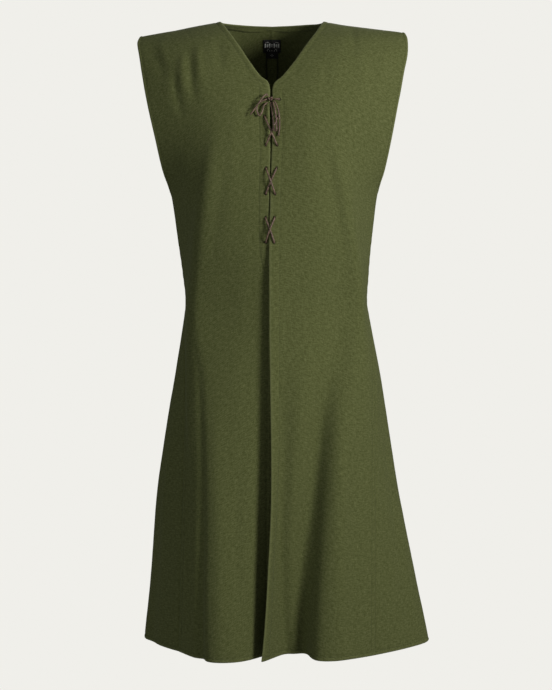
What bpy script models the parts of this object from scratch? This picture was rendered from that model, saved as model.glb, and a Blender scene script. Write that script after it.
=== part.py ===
"""Medieval surcoat: a sleeveless woollen over-garment, laced at the breast and open below.

The cloth is built in its worn, filled-out form, as panels that meet at their seams.
Frame: +Z up, the front faces -Y, the wearer's left is +X.  The origin is at the base of
the neck, midway between the two points where the shoulder seams reach the neckline.
"""

import math
from collections import namedtuple

import bmesh
import bpy
import numpy as np
from mathutils import Vector

MM = 0.001                  # the tables below are in millimetres

# ---- driving sizes ------------------------------------------------------------------
CLOTH = 2.0                 # thickness of the wool
SEAM_GAP = 0.3              # space left between pieces that are sewn together
ARMHOLE_HALF = 54.0         # half the armhole's width, front edge to shoulder line
ARMHOLE_FULLNESS = 0.6      # 1 gives a pointed lens, less gives rounder ends
BAND_WIDTH = 12.0           # turned band inside the back neckline
BAND_THICKNESS = 1.0
BAND_LIFT = 0.5             # from the back's inner face to the band
LABEL_SIZE = (30.0, 22.0)
SIZE_TAB_SIZE = (21.0, 10.0)
LABEL_TOP = 22.0            # from the centre-back neckline down to the label
LABEL_THICKNESS = 0.8
LABEL_LIFT = 1.3            # room for the pressed-open seam behind the label
LACE_DIAMETER = 2.6
EYELET_DIAMETER = 4.4
LACE_LIFT = CLOTH / 2 + LACE_DIAMETER / 2 + 0.5     # lace centre above the cloth's middle
CROSSING_LIFT = LACE_LIFT + 1.4     # where the lace crosses over the slit's edges
OVER_LIFT = LACE_DIAMETER + 1.0     # the upper strand above the lower one, where they cross
EYELET_LEAD = 1.0           # sideways from the hole's centre where the lace dips into it
LACE_SPACING = 13.0         # between the lace's points on its long runs
DOWN = np.array([0.0, 0.0, -1.0])
TURN_DEPTH = np.array([0.0, 3.5, -1.0])     # the lace's lowest run bows inward

# ---- levels -------------------------------------------------------------------------
# Every table has one row a level, from the shoulder seam down to the hem.
BACK_NECK = 4               # the level where the back neckline reaches the centre back
ARMHOLE_BOTTOM = 8          # the level where front and back meet under the arm
WAIST = 11                  # the level where the side gores start
HEM = 16

FrontRow = namedtuple("FrontRow", "z_in x_in y_in x_ridge y_ridge softness")
SideRow = namedtuple("SideRow", "z_out x_out y_front y_back x_flank")
BackRow = namedtuple("BackRow", "z_in x_in y_in x_ridge y_ridge softness")

# x counts outward from the centre line.  z_in, x_in, y_in follow the neckline and then
# the centre edge; x_ridge, y_ridge follow the crease that turns the front to the side.
FRONT = {
    "left": (
        FrontRow(0, 88.5, 0, 160, 0, 0.40),
        FrontRow(-20, 75, -38, 155, -44, 0.36),
        FrontRow(-46, 56, -62, 148, -71, 0.32),
        FrontRow(-71, 39, -78, 140, -90, 0.28),
        FrontRow(-97, 18, -89, 130, -101, 0.24),
        FrontRow(-114, 2, -95, 120, -106, 0.20),
        FrontRow(-160, 1.5, -105, 112, -109, 0.14),
        FrontRow(-230, -0.5, -112, 112, -107, 0.09),
        FrontRow(-300, -3, -116, 127, -102, 0.08),
        FrontRow(-390, -5, -117, 141, -88, 0.07),
        FrontRow(-440, -5, -116, 150, -77, 0.07),
        FrontRow(-487, -5, -115, 158, -68, 0.07),
        FrontRow(-545, -5, -116, 154, -74, 0.09),
        FrontRow(-620, -4, -120, 144, -92, 0.11),
        FrontRow(-800, -2, -127, 124, -122, 0.14),
        FrontRow(-950, -4, -124, 112, -140, 0.16),
        FrontRow(-1078, 0, -112, 104, -158, 0.18),
    ),
    "right": (
        FrontRow(0, 88.5, 0, 160, 0, 0.40),
        FrontRow(-20, 73, -38, 155, -44, 0.36),
        FrontRow(-46, 55, -62, 148, -71, 0.32),
        FrontRow(-71, 39, -78, 138, -90, 0.28),
        FrontRow(-97, 20, -89, 124, -101, 0.24),
        FrontRow(-112, 5, -95, 108, -106, 0.20),
        FrontRow(-160, 4.5, -104, 97, -110, 0.14),
        FrontRow(-230, 3, -110, 104, -110, 0.09),
        FrontRow(-300, 4.6, -114, 115, -106, 0.08),
        FrontRow(-390, 3, -112, 125, -94, 0.07),
        FrontRow(-440, -8, -108, 132, -85, 0.07),
        FrontRow(-487, -9, -107, 137, -78, 0.07),
        FrontRow(-545, -9, -107, 136, -84, 0.09),
        FrontRow(-620, -9, -108, 128, -100, 0.13),
        FrontRow(-800, -8, -111, 114, -140, 0.17),
        FrontRow(-950, -6, -112, 107, -168, 0.19),
        FrontRow(-1077, -2, -108, 101, -190, 0.20),
    ),
}

# z_out and x_out follow the armhole edge, the side seam and then the gore's seams,
# y_front and y_back say how far those two seams have parted, and x_flank is where the
# gore would come to a point at the side if it were not rounded.
SIDE = {
    "left": (
        SideRow(-19, 229, 0, 0, 229),
        SideRow(-30, 233, 0, 0, 233),
        SideRow(-57, 232, 0, 0, 232),
        SideRow(-89, 225, 0, 0, 225),
        SideRow(-121, 219, 0, 0, 219),
        SideRow(-150, 213, 0, 0, 213),
        SideRow(-200, 204, 0, 0, 204),
        SideRow(-256, 193, 0, 0, 193),
        SideRow(-297, 183, 0, 0, 183),
        SideRow(-390, 172, 0, 0, 172),
        SideRow(-440, 168, 0, 0, 168),
        SideRow(-487, 165, -0.8, 0.8, 165),
        SideRow(-545, 172, -24, 26, 176),
        SideRow(-620, 177, -46, 50, 194),
        SideRow(-800, 177, -74, 78, 236),
        SideRow(-950, 176, -92, 94, 281),
        SideRow(-1080, 176, -103, 104, 321),
    ),
    "right": (
        SideRow(-25, 228, 0, 0, 228),
        SideRow(-37, 232, 0, 0, 232),
        SideRow(-60, 228, 0, 0, 228),
        SideRow(-89, 223, 0, 0, 223),
        SideRow(-121, 217, 0, 0, 217),
        SideRow(-150, 211, 0, 0, 211),
        SideRow(-200, 200, 0, 0, 200),
        SideRow(-256, 188, 0, 0, 188),
        SideRow(-299, 176, 0, 0, 176),
        SideRow(-390, 162, 0, 0, 162),
        SideRow(-440, 155, 0, 0, 155),
        SideRow(-487, 150, -0.8, 0.8, 150),
        SideRow(-545, 152, -24, 24, 160),
        SideRow(-620, 150, -47, 46, 180),
        SideRow(-800, 152, -78, 74, 222),
        SideRow(-950, 156, -91, 92, 239),
        SideRow(-1078, 160, -86, 100, 256),
    ),
}

BACK = (
    BackRow(0, 88.5, 0, 160, 0, 0.40),
    BackRow(-0.5, 83, 29, 156, 44, 0.36),
    BackRow(-1, 65, 49, 150, 69, 0.32),
    BackRow(-2, 37, 61, 142, 87, 0.28),
    BackRow(-3, 0, 65, 134, 98, 0.26),
    BackRow(-44, 0, 78, 126, 105, 0.24),
    BackRow(-110, 0, 96, 116, 110, 0.22),
    BackRow(-205, 0, 107, 112, 110, 0.20),
    BackRow(-300, 0, 111, 120, 104, 0.18),
    BackRow(-390, 0, 104, 128, 90, 0.16),
    BackRow(-440, 0, 99, 132, 82, 0.14),
    BackRow(-487, 0, 98, 134, 78, 0.14),
    BackRow(-545, 0, 102, 132, 85, 0.16),
    BackRow(-620, 0, 111, 126, 100, 0.18),
    BackRow(-800, 0, 126, 118, 128, 0.18),
    BackRow(-950, 0, 132, 112, 146, 0.18),
    BackRow(-1080, 0, 134, 108, 158, 0.18),
)

RIDGE_SHARE = 0.6           # where along a row the ridge lies
GORE_SOFTNESS = 0.2         # how widely the gore is rounded at the side

# Large folds: across is the place along the row (0 centre, 1 side), out is how far the
# cloth stands forward (or, below 0, sinks back) at the hem, and z_start is where it begins.
Fold = namedtuple("Fold", "across_top across_hem width out z_start growth")
FOLDS = {
    "front_left": (
        Fold(0.00, 0.00, 0.050, 46.0, -400, 2.0),       # free edge stands forward
        Fold(0.10, 0.10, 0.060, -12.0, -520, 1.5),
        Fold(0.50, 0.25, 0.125, -40.0, -330, 1.0),      # hollow beside it
        Fold(0.32, 0.32, 0.220, 8.0, 0, 0.3),           # the breast is slightly full
    ),
    "front_right": (
        Fold(0.62, 0.74, 0.050, -8.0, -480, 1.0),       # narrow hollow before the gore
        Fold(0.30, 0.34, 0.140, 5.0, -500, 1.0),
        Fold(0.00, 0.00, 0.120, -4.0, -480, 1.0),       # lies under the left edge
        Fold(0.32, 0.32, 0.220, 3.0, 0, 0.3),
    ),
    "back_left": (
        Fold(0.26, 0.30, 0.120, -17.0, -430, 1.3),
        Fold(0.86, 0.84, 0.070, -8.0, -520, 1.0),
    ),
    "back_right": (
        Fold(0.34, 0.28, 0.110, -20.0, -460, 1.3),
        Fold(0.80, 0.82, 0.080, -6.0, -540, 1.0),
    ),
    "gore_left": (
        Fold(0.62, 0.70, 0.110, -7.0, -640, 1.0),
    ),
    "gore_right": (
        Fold(0.36, 0.34, 0.110, -6.0, -660, 1.0),
    ),
}

# ---- mesh fineness ------------------------------------------------------------------
ROWS_PER_LEVEL = (3, 1, 1, 1, 1, 2, 2, 3, 2, 1, 1, 1, 1, 2, 2, 2)
FRONT_COLUMNS = 17
BACK_COLUMNS = 13
GORE_COLUMNS = 8
CROWDING = 1.25             # above 1 the columns stand closer near the centre line
BAND_STEPS = 4
TAB_ROWS = 4
TAB_COLUMNS = 7

# ---- lacing -------------------------------------------------------------------------
# One row a pair of eyelets: height, and distance of each hole from the centre line.
EyeletRow = namedtuple("EyeletRow", "z x_right x_left")
EYELETS = (
    EyeletRow(-137.0, -12.5, 12.5),
    EyeletRow(-165.0, -12.5, 10.0),
    EyeletRow(-214.0, -10.5, 8.5),
    EyeletRow(-252.0, -10.0, 7.5),
    EyeletRow(-295.5, -10.5, 5.0),
    EyeletRow(-335.0, -10.5, 4.0),
    EyeletRow(-377.0, -10.5, 3.5),
)

# The knot and what hangs from it, as (x, lift, z) with lift forward from the breast.
KNOT_CENTRE = (-2.5, 6.2, -136.0)
KNOT_HALF_SIZE = (5.0, 3.6, 4.2)
KNOT_RIGHT_SIDE = (-8.0, 4.4, -136.6)
KNOT_LEFT_SIDE = (3.2, 4.4, -136.6)
BOW = {
    "bow_loop_left": (
        (-8.8, 8.2, -137.2), (-16.0, 8.6, -139.6), (-24.0, 8.2, -146.0), (-25.5, 8.0, -155.5),
        (-21.0, 7.2, -164.5), (-16.6, 7.0, -158.5), (-13.6, 7.0, -147.5), (-7.6, 6.6, -142.0),
    ),
    "bow_end_left": (
        (-6.6, 9.6, -132.0), (-9.4, 10.4, -128.4), (-14.6, 11.6, -133.0), (-23.0, 12.6, -144.6),
        (-30.0, 10.6, -154.5), (-36.6, 8.8, -163.0),
    ),
    "bow_loop_right": (
        (-2.6, 8.6, -141.8), (-0.4, 11.0, -152.0), (1.4, 13.2, -166.0), (2.8, 14.0, -180.0),
        (4.6, 14.4, -190.0), (7.0, 16.4, -190.0), (7.6, 17.6, -180.0), (6.6, 17.2, -166.0),
        (4.4, 15.2, -152.0), (1.4, 12.0, -141.8),
    ),
    "bow_end_right": (
        (3.8, 8.6, -139.4), (7.6, 9.2, -147.0), (11.4, 8.6, -160.0), (12.8, 7.8, -178.0),
        (11.0, 7.0, -198.5),
    ),
}

WOOL_COLOUR = (0.085, 0.100, 0.030, 1.0)
BAND_COLOUR = (0.075, 0.090, 0.028, 1.0)
LABEL_COLOUR = (0.012, 0.012, 0.012, 1.0)
LEATHER_COLOUR = (0.070, 0.040, 0.022, 1.0)


# ---- curves and sections ------------------------------------------------------------
def spline(rows, t):
    """All columns of a table at level t, on a Catmull-Rom curve through its rows.

    Above the first row the curve goes on over the shoulder, so y changes sign there.
    """
    i = min(int(t), len(rows) - 2)
    f = t - i
    here, there = np.array(rows[i], float), np.array(rows[i + 1], float)
    over_shoulder = [-1 if name.startswith("y_") else 1 for name in rows[0]._fields]
    before = np.array(rows[i - 1], float) if i else there * over_shoulder
    after = np.array(rows[i + 2], float) if i + 2 < len(rows) else 2 * there - here
    return 0.5 * (2 * here + (there - before) * f
                  + (2 * before - 5 * here + 4 * there - after) * f ** 2
                  + (3 * here - before - 3 * there + after) * f ** 3)


def soft_corner(start, corner, end, share, softness, s):
    """Points at s (0 to 1) from start past a rounded-off corner to end."""
    first = (corner - start) / share
    second = (end - corner) / (1 - share)

    def ramp(x):
        return (x + np.sqrt(x * x + softness * softness)) / 2

    bend = ramp(s - share) - ramp(-share) * (1 - s) - (ramp(1 - share) - (1 - share)) * s
    return start + np.outer(s, first) + np.outer(bend, second - first)


def smooth_step(x):
    x = min(max(x, 0.0), 1.0)
    return x * x * (3 - 2 * x)


def folded(points, s, folds, z_level):
    """The row with its folds, each moved along the row's own outward direction in plan."""
    run = np.gradient(points[:, :2], s, axis=0)
    run /= np.linalg.norm(run, axis=1)[:, None]
    outward = np.stack([-run[:, 1], run[:, 0], np.zeros(len(s))], axis=1)
    if np.dot(outward[len(s) // 2, :2], points[len(s) // 2, :2]) < 0:
        outward = -outward
    z_hem = BACK[HEM].z_in
    out = np.zeros(len(s))
    for fold in folds:
        down = (fold.z_start - z_level) / (fold.z_start - z_hem)
        if down <= 0:
            continue
        across = fold.across_top + (fold.across_hem - fold.across_top) * smooth_step(down)
        out += fold.out * down ** fold.growth * np.exp(-((s - across) / fold.width) ** 2)
    return points + outward * out[:, None]


def armhole_reach(z, z_top, z_bottom):
    """Half-width of the armhole at height z, as a lens with rounded ends."""
    share = min(max((z_top - z) / (z_top - z_bottom), 0.0), 1.0)
    return ARMHOLE_HALF * math.sin(math.pi * share) ** ARMHOLE_FULLNESS


def side_point(side, t, facing):
    """The outer edge of the front (facing -1) or back (facing 1) at level t."""
    z, x, y_front, y_back, _ = spline(SIDE[side], t)
    if t < ARMHOLE_BOTTOM:
        top, bottom = SIDE[side][0].z_out, SIDE[side][ARMHOLE_BOTTOM].z_out
        y = facing * armhole_reach(z, top, bottom)
    elif t <= WAIST - 1:
        y = 0.0
    else:
        y = min(y_front, 0.0) if facing < 0 else max(y_back, 0.0)
    return np.array([x, y, z])


def mirror_right(side, points):
    """Tables count x outward; the right-hand side lies at -X."""
    if side == "right":
        points = points * np.array([-1.0, 1.0, 1.0])
    return points


def panel_row(panel, t, s):
    """Points on the middle of a panel's cloth at level t, at each s across it."""
    kind, side = panel.split("_")
    if kind == "gore":
        start, end = side_point(side, t, -1), side_point(side, t, 1)
        _, _, _, _, x_flank = spline(SIDE[side], t)
        flank = np.array([x_flank, (start[1] + end[1]) / 2, start[2]])
        points = soft_corner(start, flank, end, 0.5, GORE_SOFTNESS, s)
    else:
        table = FRONT[side] if kind == "front" else BACK
        z, x, y, x_ridge, y_ridge, softness = spline(table, t)
        if kind == "back" and t > BACK_NECK:
            x = 0.0
        start, end = np.array([x, y, z]), side_point(side, t, -1 if kind == "front" else 1)
        ridge = np.array([x_ridge, y_ridge, z + (end[2] - z) * RIDGE_SHARE])
        points = soft_corner(start, ridge, end, RIDGE_SHARE, softness, s)
    points = folded(points, s, FOLDS[panel], points[0, 2])
    return mirror_right(side, points)


# ---- panels as grids of points and normals ------------------------------------------
Cloth = namedtuple("Cloth", "points normals")       # the middle of a panel's thickness


def row_levels(first=0):
    levels = [0.0]
    for level, count in enumerate(ROWS_PER_LEVEL):
        levels += [level + (k + 1) / count for k in range(count)]
    return [t for t in levels if t >= first]


def panel_grid(panel, levels, columns):
    s = np.linspace(0, 1, columns + 1)
    if not panel.startswith("gore"):
        s = s ** CROWDING
    return np.array([panel_row(panel, t, s) for t in levels])


def grid_normals(grid):
    """Unit normals of a grid of points, pointing away from the garment's inside."""
    down, across = np.gradient(grid, axis=0), np.gradient(grid, axis=1)
    normals = np.cross(down, across)
    normals /= np.linalg.norm(normals, axis=2)[:, :, None]
    middle = tuple(n // 2 for n in grid.shape[:2])
    away = grid[middle] * np.array([1.0, 1.0, 0.0])
    if np.dot(normals[middle], away) < 0:
        normals = -normals
    return normals


def share_edge(first, second):
    """Gives two edges that are sewn together one direction, so the seam stays even."""
    both = first + second
    both /= np.linalg.norm(both, axis=1)[:, None]
    first[:] = both
    second[:] = both


def pull_in(grid):
    """Draws a grid's four edges in by half a seam gap."""
    result = grid.copy()
    for edge, inner in ((np.s_[:, 0], np.s_[:, 1]), (np.s_[:, -1], np.s_[:, -2]),
                        (np.s_[0, :], np.s_[1, :]), (np.s_[-1, :], np.s_[-2, :])):
        toward = grid[inner] - grid[edge]
        reach = np.maximum(np.linalg.norm(toward, axis=1), 1e-6)[:, None]
        result[edge] += toward / reach * min(SEAM_GAP / 2, 0.45 * reach.min())
    return result


def garment_cloths():
    """All six panels, with normals shared along their seams."""
    levels, gore_levels = row_levels(), row_levels(WAIST)
    columns = {"front": FRONT_COLUMNS, "back": BACK_COLUMNS, "gore": GORE_COLUMNS}
    points, normals = {}, {}
    for panel in FOLDS:
        kind = panel.split("_")[0]
        rows = gore_levels if kind == "gore" else levels
        points[panel] = panel_grid(panel, rows, columns[kind])
        normals[panel] = grid_normals(points[panel])
    under_arm = levels.index(ARMHOLE_BOTTOM)
    waist = levels.index(WAIST)
    centre = levels.index(BACK_NECK)
    share_edge(normals["back_left"][centre:, 0], normals["back_right"][centre:, 0])
    for side in ("left", "right"):
        front, back, gore = (normals[f"{kind}_{side}"] for kind in ("front", "back", "gore"))
        seam = points[f"front_{side}"][0, -1] - points[f"front_{side}"][0, 0]
        upright = np.cross(seam, [0.0, 1.0, 0.0])
        upright *= np.sign(upright[2]) / np.linalg.norm(upright)
        front[0] = back[0] = upright
        share_edge(front[under_arm:waist, -1], back[under_arm:waist, -1])
        share_edge(front[waist:, -1], gore[:, 0])
        share_edge(back[waist:, -1], gore[:, -1])
    return {panel: Cloth(pull_in(points[panel]), normals[panel]) for panel in FOLDS}


# ---- places on the cloth ------------------------------------------------------------
def on_cloth(cloth, row, column):
    """A point and its outward normal at a place between a panel's grid points."""
    i = int(min(max(row, 0), cloth.points.shape[0] - 2))
    j = int(min(max(column, 0), cloth.points.shape[1] - 2))
    f, g = row - i, column - j
    blend = [(1 - f) * (1 - g) * grid[i, j] + (1 - f) * g * grid[i, j + 1]
             + f * (1 - g) * grid[i + 1, j] + f * g * grid[i + 1, j + 1] for grid in cloth]
    return blend[0], blend[1] / np.linalg.norm(blend[1])


def slopes(cloth, row, column):
    """How a place's point moves for one grid step down and one across."""
    step = 0.02
    here, _ = on_cloth(cloth, row, column)
    down = (on_cloth(cloth, row + step, column)[0] - here) / step
    across = (on_cloth(cloth, row, column + step)[0] - here) / step
    return here, down, across


def find_on_cloth(cloth, x, z):
    """The place on the cloth that lies at x and z, by Newton's method."""
    miss = (cloth.points[:, :, 0] - x) ** 2 + (cloth.points[:, :, 2] - z) ** 2
    row, column = np.unravel_index(np.argmin(miss), miss.shape)
    for _ in range(30):
        here, down, across = slopes(cloth, row, column)
        jacobian = np.array([[down[0], across[0]], [down[2], across[2]]])
        move = np.linalg.solve(jacobian, [x - here[0], z - here[2]])
        row += np.clip(move[0], -0.5, 0.5)
        column = max(column + np.clip(move[1], -0.5, 0.5), 0.0)
    return row, column


# ---- neck band and labels -----------------------------------------------------------
def walk(cloth, row, column, heading, distance):
    """The place reached by going a short way over the cloth."""
    _, down, across = slopes(cloth, row, column)
    along = np.stack([down, across], axis=1)
    move, *_ = np.linalg.lstsq(along, heading * distance, rcond=None)
    return row + move[0], max(column + move[1], 0.0)


def line_from_neckline(cloth, row):
    """Points and normals on a line that leaves the back neckline squarely."""
    edge = on_cloth(cloth, row, 0)[0] - on_cloth(cloth, row - 0.5, 0)[0]
    heading = np.cross(edge, on_cloth(cloth, row, 0)[1])
    heading *= -np.sign(heading[2]) / np.linalg.norm(heading)
    places = [(row, 0.0)]
    for _ in range(BAND_STEPS):
        places.append(walk(cloth, *places[-1], heading, BAND_WIDTH / BAND_STEPS))
    return [on_cloth(cloth, *place) for place in places]


def neck_band_grids(cloths):
    """The two faces of the strip that follows the inside of the back neckline."""
    last = row_levels().index(BACK_NECK)
    stations = [0.5, 1.0, 1.5] + list(range(2, last + 1))
    right = [line_from_neckline(cloths["back_right"], row) for row in stations]
    left = [line_from_neckline(cloths["back_left"], row) for row in stations[-2::-1]]
    lines = np.array(right + left)
    middle, inward = lines[:, :, 0], -lines[:, :, 1]
    near = middle + inward * (CLOTH / 2 + BAND_LIFT)
    return near, near + inward * BAND_THICKNESS


def tab_grids(cloths, width, height, top):
    """The two faces of a flat tab sewn inside the centre back, top below the neckline."""
    near = []
    z_neck = BACK[BACK_NECK].z_in
    for z in np.linspace(z_neck - top, z_neck - top - height, TAB_ROWS):
        row = []
        for x in np.linspace(-width / 2, width / 2, TAB_COLUMNS):
            cloth = cloths["back_left" if x >= 0 else "back_right"]
            point, normal = on_cloth(cloth, *find_on_cloth(cloth, x, z))
            row.append(point - normal * (CLOTH / 2 + LABEL_LIFT))
        near.append(row)
    near = np.array(near)
    return near, near + np.array([0.0, -LABEL_THICKNESS, 0.0])


# ---- lace and bow -------------------------------------------------------------------
def eyelet(cloths, row, side):
    """Centre and outward normal of one eyelet."""
    x = EYELETS[row].x_left if side == "left" else EYELETS[row].x_right
    cloth = cloths[f"front_{side}"]
    return on_cloth(cloth, *find_on_cloth(cloth, x, EYELETS[row].z))


def strand(cloths, first_side, crossing_lift):
    """One half of the lace, from the knot down to the lowest eyelets.

    It goes in at the top row, out at the second, crosses over the slit to the third,
    and so on: rows 0, 2, 4 and 6 take it inward, and it crosses before rows 2, 4 and 6.
    """
    other = {"left": "right", "right": "left"}
    side, route, face, leaving = first_side, [], 1, None
    for row in range(len(EYELETS)):
        crosses = row >= 2 and row % 2 == 0
        if crosses:
            side = other[side]
        centre, normal = eyelet(cloths, row, side)
        if leaving is not None:
            run = centre - leaving
            run /= np.linalg.norm(run)
            if crosses:
                middle = (leaving + centre) / 2
                middle[1] = min(leaving[1], centre[1])      # clear of the forward edge
                route.append(middle + normal * crossing_lift)
        else:
            run = np.array([1.0 if side == "left" else -1.0, 0.0, 0.0])
        route.append(centre - run * EYELET_LEAD + normal * face * LACE_LIFT)
        face = -face
        route.append(centre + EYELET_LEAD * DOWN + normal * face * LACE_LIFT)
        leaving = centre
    return route


def breast_y(z):
    """How far forward the breast's cloth lies at height z, on the centre line."""
    rows = FRONT["right"]
    return np.interp(-z, [-row.z_in for row in rows], [row.y_in for row in rows])


def before_breast(route):
    """Turns (x, lift, z) into points, with lift counted forward from the cloth."""
    return [np.array([x, breast_y(z) - lift, z]) for x, lift, z in route]


def smooth_route(route, spacing):
    """Points on a smooth curve through a route's own points, about spacing apart."""
    points = [np.array(p, float) for p in route]
    ends = [2 * points[0] - points[1]] + points + [2 * points[-1] - points[-2]]
    result = [points[0]]
    for before, here, there, after in zip(ends, ends[1:], ends[2:], ends[3:]):
        length = np.linalg.norm(there - here)
        knots = [max(np.linalg.norm(b - a), 1e-6) ** 0.5
                 for a, b in ((before, here), (here, there), (there, after))]
        leave = slope(before, here, there, knots[0], knots[1]) * knots[1]
        arrive = slope(here, there, after, knots[1], knots[2]) * knots[1]
        count = max(1, round(length / spacing))
        for k in range(1, count + 1):
            f = k / count
            result.append((2 * f ** 3 - 3 * f ** 2 + 1) * here + (f ** 3 - 2 * f ** 2 + f) * leave
                          + (3 * f ** 2 - 2 * f ** 3) * there + (f ** 3 - f ** 2) * arrive)
    return result


def slope(before, here, after, knot_before, knot_after):
    """Direction of travel at here on a centripetal Catmull-Rom curve."""
    return ((here - before) / knot_before - (after - before) / (knot_before + knot_after)
            + (after - here) / knot_after)


# ---- objects ------------------------------------------------------------------------
def clear_scene():
    for obj in list(bpy.data.objects):
        bpy.data.objects.remove(obj, do_unlink=True)


def new_collection(name):
    collection = bpy.data.collections.new(name)
    bpy.context.scene.collection.children.link(collection)
    return collection


def new_material(name, colour, roughness):
    material = bpy.data.materials.new(name)
    material.use_nodes = True
    shader = material.node_tree.nodes["Principled BSDF"]
    shader.inputs["Base Color"].default_value = colour
    shader.inputs["Roughness"].default_value = roughness
    shader.inputs["Metallic"].default_value = 0.0
    return material


def add_wall(name, outer, inner, collection, material):
    """A closed wall between two grids of points of the same size."""
    rows, columns = outer.shape[:2]
    vertices = np.concatenate([outer.reshape(-1, 3), inner.reshape(-1, 3)]) * MM
    behind = rows * columns

    def at(i, j):
        return i * columns + j

    faces = []
    for i in range(rows - 1):
        for j in range(columns - 1):
            quad = [at(i, j), at(i, j + 1), at(i + 1, j + 1), at(i + 1, j)]
            faces.append(quad)
            faces.append([v + behind for v in reversed(quad)])
    rim = [at(0, j) for j in range(columns)]
    rim += [at(i, columns - 1) for i in range(1, rows)]
    rim += [at(rows - 1, j) for j in reversed(range(columns - 1))]
    rim += [at(i, 0) for i in reversed(range(1, rows - 1))]
    for a, b in zip(rim, rim[1:] + rim[:1]):
        faces.append([b, a, a + behind, b + behind])
    mesh = bpy.data.meshes.new(name)
    mesh.from_pydata(vertices.tolist(), [], faces)
    mesh.materials.append(material)
    tidy = bmesh.new()
    tidy.from_mesh(mesh)
    bmesh.ops.triangulate(tidy, faces=tidy.faces)
    bmesh.ops.recalc_face_normals(tidy, faces=tidy.faces)
    tidy.to_mesh(mesh)
    tidy.free()
    obj = bpy.data.objects.new(name, mesh)
    collection.objects.link(obj)
    return obj


def add_panels(cloths, collection, material):
    panels = {}
    for name, (middle, normals) in cloths.items():
        half = normals * CLOTH / 2
        panels[name] = add_wall(name, middle + half, middle - half, collection, material)
    return panels


def cut_eyelets(cloths, panels, collection):
    """Seven holes in each front's centre edge, one cutter a hole."""
    for side in ("right", "left"):
        for row in range(len(EYELETS)):
            centre, normal = eyelet(cloths, row, side)
            bpy.ops.mesh.primitive_cylinder_add(
                vertices=10, radius=EYELET_DIAMETER / 2 * MM, depth=4 * CLOTH * MM,
                location=centre * MM, rotation=Vector(normal).to_track_quat("Z", "Y").to_euler())
            cutter = bpy.context.object
            cutter.name = f"eyelet_cutter_{side}_{row}"
            cutter.display_type = "WIRE"
            cutter.hide_render = True
            for linked in list(cutter.users_collection):
                linked.objects.unlink(cutter)
            collection.objects.link(cutter)
            cut = panels[f"front_{side}"].modifiers.new(f"eyelet {row}", "BOOLEAN")
            cut.operation = "DIFFERENCE"
            cut.solver = "EXACT"
            cut.object = cutter


def add_cord(name, route, collection, material):
    """A round thong along a route, as a curve with filled caps."""
    curve = bpy.data.curves.new(name, "CURVE")
    curve.dimensions = "3D"
    curve.bevel_depth = LACE_DIAMETER / 2 * MM
    curve.bevel_resolution = 2
    curve.use_fill_caps = True
    points = smooth_route(route, LACE_SPACING)
    spline_points = curve.splines.new("POLY").points
    spline_points.add(len(points) - 1)
    for target, point in zip(spline_points, points):
        target.co = (*(point * MM), 1.0)
    curve.materials.append(material)
    obj = bpy.data.objects.new(name, curve)
    collection.objects.link(obj)
    return obj


def add_knot(collection, material):
    bpy.ops.mesh.primitive_uv_sphere_add(segments=12, ring_count=8, radius=1.0)
    knot = bpy.context.object
    knot.name = "bow_knot"
    knot.data.materials.append(material)
    knot.location = before_breast([KNOT_CENTRE])[0] * MM
    knot.scale = Vector(KNOT_HALF_SIZE) * MM
    for linked in list(knot.users_collection):
        linked.objects.unlink(knot)
    collection.objects.link(knot)
    return knot


def add_lacing(cloths, collection, material):
    under = strand(cloths, "right", CROSSING_LIFT)
    over = strand(cloths, "left", CROSSING_LIFT + OVER_LIFT)
    starts = before_breast([KNOT_RIGHT_SIDE, KNOT_LEFT_SIDE])
    turn = (under[-1] + over[-1]) / 2 + TURN_DEPTH
    lace = [starts[0]] + under + [turn] + over[::-1] + [starts[1]]
    add_cord("lace", lace, collection, material)
    add_knot(collection, material)
    for name, route in BOW.items():
        add_cord(name, before_breast(route), collection, material)


def main():
    clear_scene()
    collection = new_collection("medieval_surcoat")
    cutters = new_collection("cutters")
    cloths = garment_cloths()
    panels = add_panels(cloths, collection, new_material("wool", WOOL_COLOUR, 0.95))
    cut_eyelets(cloths, panels, cutters)
    add_wall("neck_band", *neck_band_grids(cloths), collection,
             new_material("neck_band", BAND_COLOUR, 0.95))
    woven = new_material("label", LABEL_COLOUR, 0.8)
    width, height = LABEL_SIZE
    add_wall("label", *tab_grids(cloths, width, height, LABEL_TOP), collection, woven)
    tab_width, tab_height = SIZE_TAB_SIZE
    tab_top = LABEL_TOP + height + SEAM_GAP
    add_wall("size_tab", *tab_grids(cloths, tab_width, tab_height, tab_top), collection, woven)
    add_lacing(cloths, collection, new_material("leather", LEATHER_COLOUR, 0.6))


main()
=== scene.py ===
"""Looks of the medieval surcoat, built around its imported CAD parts.

Each panel of wool is a thin closed shell on the form of its CAD solid, with the turned edges,
seams, stitching and creases that the solid leaves out.  Inside are the pressed-open seam
allowances, the neck band and a woven label; outside are the leather lace and its bow.
Everything is in the CAD model's frame: +Z up, the front faces -Y, the wearer's left is +X.
"""
import math
from collections import namedtuple

import bpy
import numpy as np
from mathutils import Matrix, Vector, noise


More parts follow.
